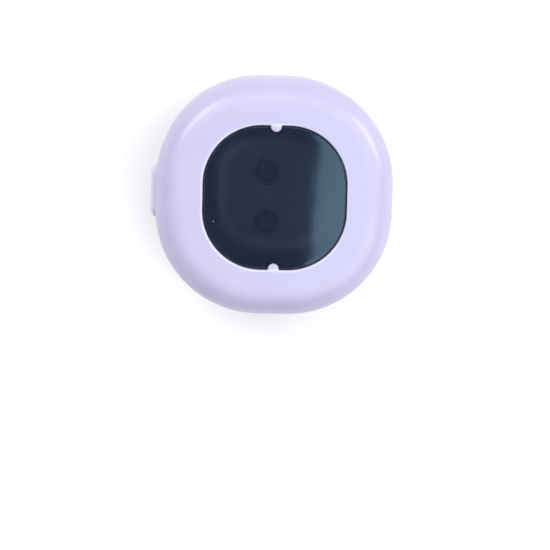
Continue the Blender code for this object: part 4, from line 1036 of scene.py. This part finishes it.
portSize = {
    "mouth": -24.35, "shell": [(4.47, 0, 0.12, 3), (4.47, 7.3, 0.1), (4.17, 7.3), (4.17, 0, 0.1, 3)],
    "back": [(4.2, 6.9), (4.2, 7.25)], "tongue": (2.84, 0.35, 0.7, 7, 0.12, 3),
    "strips": 10, "firstStrip": -2.25, "pitch": 0.5, "stripAway": 0.34, "strip": (0.13, 0.03, 0.95, 5.6),
}


def makeUsbPort():
    # Built along Z with its mouth at the low end, then laid along Y under the bottom side.
    size = portSize
    shell = solid(size["shell"], portPlace["corner"], closed=True, steps=12)
    back = solid(size["back"], portPlace["corner"], steps=12)
    tongue = painted(block(0, 0, *size["tongue"]), 1)
    strips = []
    for step in range(size["strips"]):
        x = size["firstStrip"] + step * size["pitch"]
        for side in (-1, 1):
            strips.append(painted(block(x, side * size["stripAway"], *size["strip"]), 2))
    port = joined(shell, painted(back, 1), tongue, *strips)
    port = moved(turned(port, -90, "X"), 0, size["mouth"], portPlace["z"])
    kept("usbPort", port, [portMetal, blackBody, gold], "base", "usb_port", 30)


emitterSize = {
    "package": (1.5, 1.5, 7.3, 8.2, 0.1), "well": [(0, 7.9), (0.95, 7.9), (1.15, 8.4), (0, 8.4)],
    "die": (0.35, 0.35, 7.88, 8.02, 0.03, 1), "padAway": 1.2, "pad": (0.25, 1.2, 7.28, 7.4, 0.03, 1),
    "lens": [(0, 8.5), (2.5, 8.5, 0.08), (2.5, 9.08, 0.1), (2.2, 9.2, 0.1), (0, 9.2)],
}


def makeEmitter(number, x, y):
    size = emitterSize
    well = moved(solid(size["well"], steps=12), x, y)
    package = carved(block(x, y, *size["package"]), well)
    die = painted(block(x, y, *size["die"]), 1)
    pads = [painted(block(x + side * size["padAway"], y, *size["pad"]), 2) for side in (-1, 1)]
    whole = joined(package, die, *pads)
    kept(f"uvEmitter{number}", whole, [ceramic, emitter, gold], "base", f"uv_led_{number}", 30)
    lens = moved(solid(size["lens"], steps=16), x, y)
    kept(f"uvWindow{number}", lens, [quartz], "base", f"uv_lens_{number}")


pipeSize = {"low": 7.3, "tops": (10.39, 10.93), "sleeve": (0.19, 0.5), "pipe": 0.18, "proud": 0.06}


def makeLightPipe(number, place, top, tip):
    # A dark sleeve with the clear pipe's small round tip in it, which glows with painted light.
    low, rim, radius = pipeSize["low"], top - pipeSize["proud"], pipeSize["pipe"]
    near, far = pipeSize["sleeve"]
    sleeve = solid([(near, low), (far, low, 0.05), (far, rim, 0.1, 3), (near, rim)], closed=True, steps=8)
    pipe = solid([(0, low), (radius, low), (radius, top, 0.12, 4), (0, top)], steps=6)
    whole = moved(joined(sleeve, painted(pipe, 1)), *place)
    kept(f"lightPipe{number}", whole, [charcoal, tip], "base", f"light_pipe_{number}")


cellSize = {"edge": 0.15, "seam": ((-7, 7.9, 3.7), (7, 8.5, 3.9), 0.05)}


def makeBattery():
    pouch = softened(copyOf("battery"), cellSize["edge"], 2, 20)
    whole = joined(pouch, box(*cellSize["seam"]))
    kept("batteryCell", whole, [cell], "base", "battery")


plugSize = {
    "edge": 0.18, "contacts": (-1, 1), "slot": (14.8, 0.35, 0.6, 4.3, 5.1),
    "pin": (14.05, 0.15, 0.65, 4.55, 4.85, 0.04, 1),
}


def makeConnector():
    size = plugSize
    plug = softened(copyOf("battery_connector"), size["edge"])
    plug = carved(plug, *[block(x, *size["slot"]) for x in size["contacts"]])
    pins = [painted(block(x, *size["pin"]), 1) for x in size["contacts"]]
    whole = joined(plug, *pins)
    kept("batteryPlug", whole, [ivory, tinned], "base", "battery_connector", 30)


def makeLead(name, node, finish):
    kept(name, copyOf(node), [finish], "base", node, 60)


makeFrontCover()
makeWindowPane()
makeWindowFrame()
for number, place in enumerate(places["lidScrews"], 1):
    makeScrew(f"lidScrew{number}", place, "lid", f"lid_screw_{number}")
makeSoftCopy("lidCatch", charcoal, "lid", "lid_catch")
makeLidMagnet()
makeNeckPad("neckPadLid", padSize["above"], "lid", "neck_pad_lid")
print("lid made")

makeBaseShell()
makeBackCover()
for number, place in enumerate(places["backScrews"], 1):
    makeScrew(f"backScrew{number}", place, "base", f"back_screw_{number}")
makeChamberLiner()
makeChamberSeal()
makeNeckPad("neckPadBase", padSize["below"], "base", "neck_pad_base")
makeHingePin()
print("base made")

makeReleaseButton()
makeSoftCopy("latchSlider", charcoal, "button", "latch_slider")
makeSpring("springLower", -1, "button_spring_lower")
makeSpring("springUpper", 1, "button_spring_upper")
print("button made")

makeMainBoard()
makeController()
makeBoosterCoil()
makeUsbPort()
for number, (x, y) in enumerate(places["emitters"], 1):
    makeEmitter(number, x, y)
tips = (pipeFaintPaintedGlow, pipeBrightPaintedGlow)
for number, (place, top, tip) in enumerate(zip(places["pipes"], pipeSize["tops"], tips), 1):
    makeLightPipe(number, place, top, tip)
makeBattery()
makeConnector()
makeLead("leadPositive", "battery_lead_positive", redSleeve)
makeLead("leadNegative", "battery_lead_negative", blackSleeve)
makeSoftCopy("lidSensor", board, "base", "lid_sensor")
print("electronics made")

# Here lengths are in metres, except those of the table's pattern.
stage = {
    "table": 1.6, "drop": 0.0001, "colour": (0.82, 0.82, 0.82), "shade": (0.8, 0.801, 0.803),
    "glow": 0.06, "seenGlow": 0.2, "farGlow": 0.6, "farFrom": (250, 1100), "close": 0.00016,
    "tent": (1, 1, 1), "side": 0.2, "ring": 1.22, "above": 0.09, "corner": 0.38, "backdrop": 1,
    "ringRise": (0.4, 0.8), "ringFall": (0.955, 0.99), "cornerRise": (0.1, 1.1),
}


def makeTableFinish():
    mat = Finish("pale table", IOR=1.45)
    cloud = mat.noise(0.004, 3)
    grain = mat.noise(1.4, 3)
    # It shines a little more to the eye than onto the case, most of all far from the lamps.
    reach = (mat.x * mat.x + mat.y * mat.y) ** 0.5
    glow, near, far = ((stage[key],) * 3 for key in ("glow", "seenGlow", "farGlow"))
    seenGlow = mat.mix(near, far, reach.within(*stage["farFrom"]))
    seen = mat.node("LightPath", {}, {}, "Is Camera Ray")
    mat.use(
        Base_Color=mat.mix(stage["colour"], stage["shade"], cloud), Roughness=0.6 + grain * 0.2,
        Normal=mat.bump(grain, 0.004), Emission_Color=mat.mix(glow, seenGlow, seen),
        Emission_Strength=1,
    )
    # It is clear from below and just under the case, so that the case's back can be seen.
    under = mat.node("NewGeometry", {}, {}, "Backfacing")
    close = mat.node("LightPath", {}, {}, "Ray Length") < stage["close"]
    clear = mat.node("BsdfTransparent", {}, {}, "BSDF")
    both = mat.node(
        "MixShader", {},
        {0: under.most(close), 1: Value(mat, mat.shader.outputs["BSDF"]), 2: clear}, "Shader",
    )
    mat.tree.links.new(both.socket, mat.tree.nodes["Material Output"].inputs["Surface"])
    return mat.material


def makeTable():
    bm = bmesh.new()
    bmesh.ops.create_grid(bm, x_segments=4, y_segments=4, size=stage["table"])
    table = linked("table", meshOf(moved(bm, z=-stage["drop"]), "table"))
    table.data.materials.append(makeTableFinish())


def makeTent():
    # A white tent, brightest round the hole for the camera overhead and darker at one corner.
    world = bpy.data.worlds.new("studio")
    world.use_nodes = True
    bench = NodeBench(world.node_tree)
    east, north, height = bench.axes(bench.node("TexCoord", {}, {}, "Generated"))
    side, ring, above = (stage[key] for key in ("side", "ring", "above"))
    strength = side + (ring - side) * height.within(*stage["ringRise"])
    strength = strength + (above - ring) * height.within(*stage["ringFall"])
    corner = (0 - east - north).within(*stage["cornerRise"])
    strength = strength * (1 - corner * stage["corner"])
    seen = bench.node("LightPath", {}, {}, "Is Camera Ray")
    strength = between((strength, stage["backdrop"]), seen)
    backdrop = world.node_tree.nodes["Background"]
    backdrop.inputs["Color"].default_value = (*stage["tent"], 1)
    world.node_tree.links.new(strength.socket, backdrop.inputs["Strength"])
    bpy.context.scene.world = world
    bpy.context.scene.view_settings.view_transform = "Standard"


white = (1, 1, 1)
lampAim = (0, 0, 0.014)
lamps = {
    "top softbox": {"at": (0.05, 0.42, 0.6), "size": (0.8, 0.45), "power": 0.5, "colour": white},
    "left softbox": {"at": (-0.43, 0.41, 0.4), "size": (0.36, 0.17), "power": 1.86, "colour": white},
    "right softbox": {"at": (0.4, -0.32, 0.48), "size": (0.44, 0.6), "power": 1.36, "colour": white},
    "corner softbox": {"at": (0.49, 0.245, 0.26), "size": (0.3, 0.12), "power": 1.16, "colour": white},
    "strip light": {
        "at": (0.0775, -0.035, 0.58), "size": (0.075, 0.19), "power": 0.2, "colour": (0.42, 0.74, 1),
        "turn": -3.2,
    },
}


def makeLamps():
    for name, lamp in lamps.items():
        data = bpy.data.lights.new(name, "AREA")
        data.shape = "RECTANGLE"
        data.size, data.size_y = lamp["size"]
        data.energy = lamp["power"]
        data.color = lamp["colour"]
        obj = linked(name, data)
        obj.location = lamp["at"]
        if "turn" in lamp:  # it looks straight down
            obj.rotation_euler = (0, 0, math.radians(lamp["turn"]))
        else:
            facing = Vector(lampAim) - Vector(lamp["at"])
            obj.rotation_euler = facing.to_track_quat("-Z", "Y").to_euler()


view = {
    "lens": 153.4, "sensor": 36, "clip": (0.01, 10), "around": (0, 0, 0.017), "away": 0.5,
    "tiltX": -1.5, "tiltY": 4.2, "aim": (0.0007, -0.0173, 0.017), "roll": 1.3,
}


def makeCamera():
    # It stands over the case, away from around in the tilted direction, and looks at aim.
    data = bpy.data.cameras.new("camera")
    data.lens = view["lens"]
    data.sensor_width = view["sensor"]
    data.clip_start, data.clip_end = view["clip"]
    obj = linked("camera", data)
    tilts = [math.tan(math.radians(view[key])) for key in ("tiltX", "tiltY")]
    obj.location = Vector(view["around"]) + Vector((*tilts, 1)).normalized() * view["away"]
    back = (obj.location - Vector(view["aim"])).normalized()
    right = Vector((0, 1, 0)).cross(back).normalized()
    turn = Matrix((right, back.cross(right), back)).transposed()
    turn = turn @ Matrix.Rotation(math.radians(view["roll"]), 3, "Z")
    obj.rotation_euler = turn.to_euler()
    bpy.context.scene.camera = obj


makeTable()
makeTent()
makeLamps()
makeCamera()
print("table, light and camera made")

bpy.context.view_layer.update()
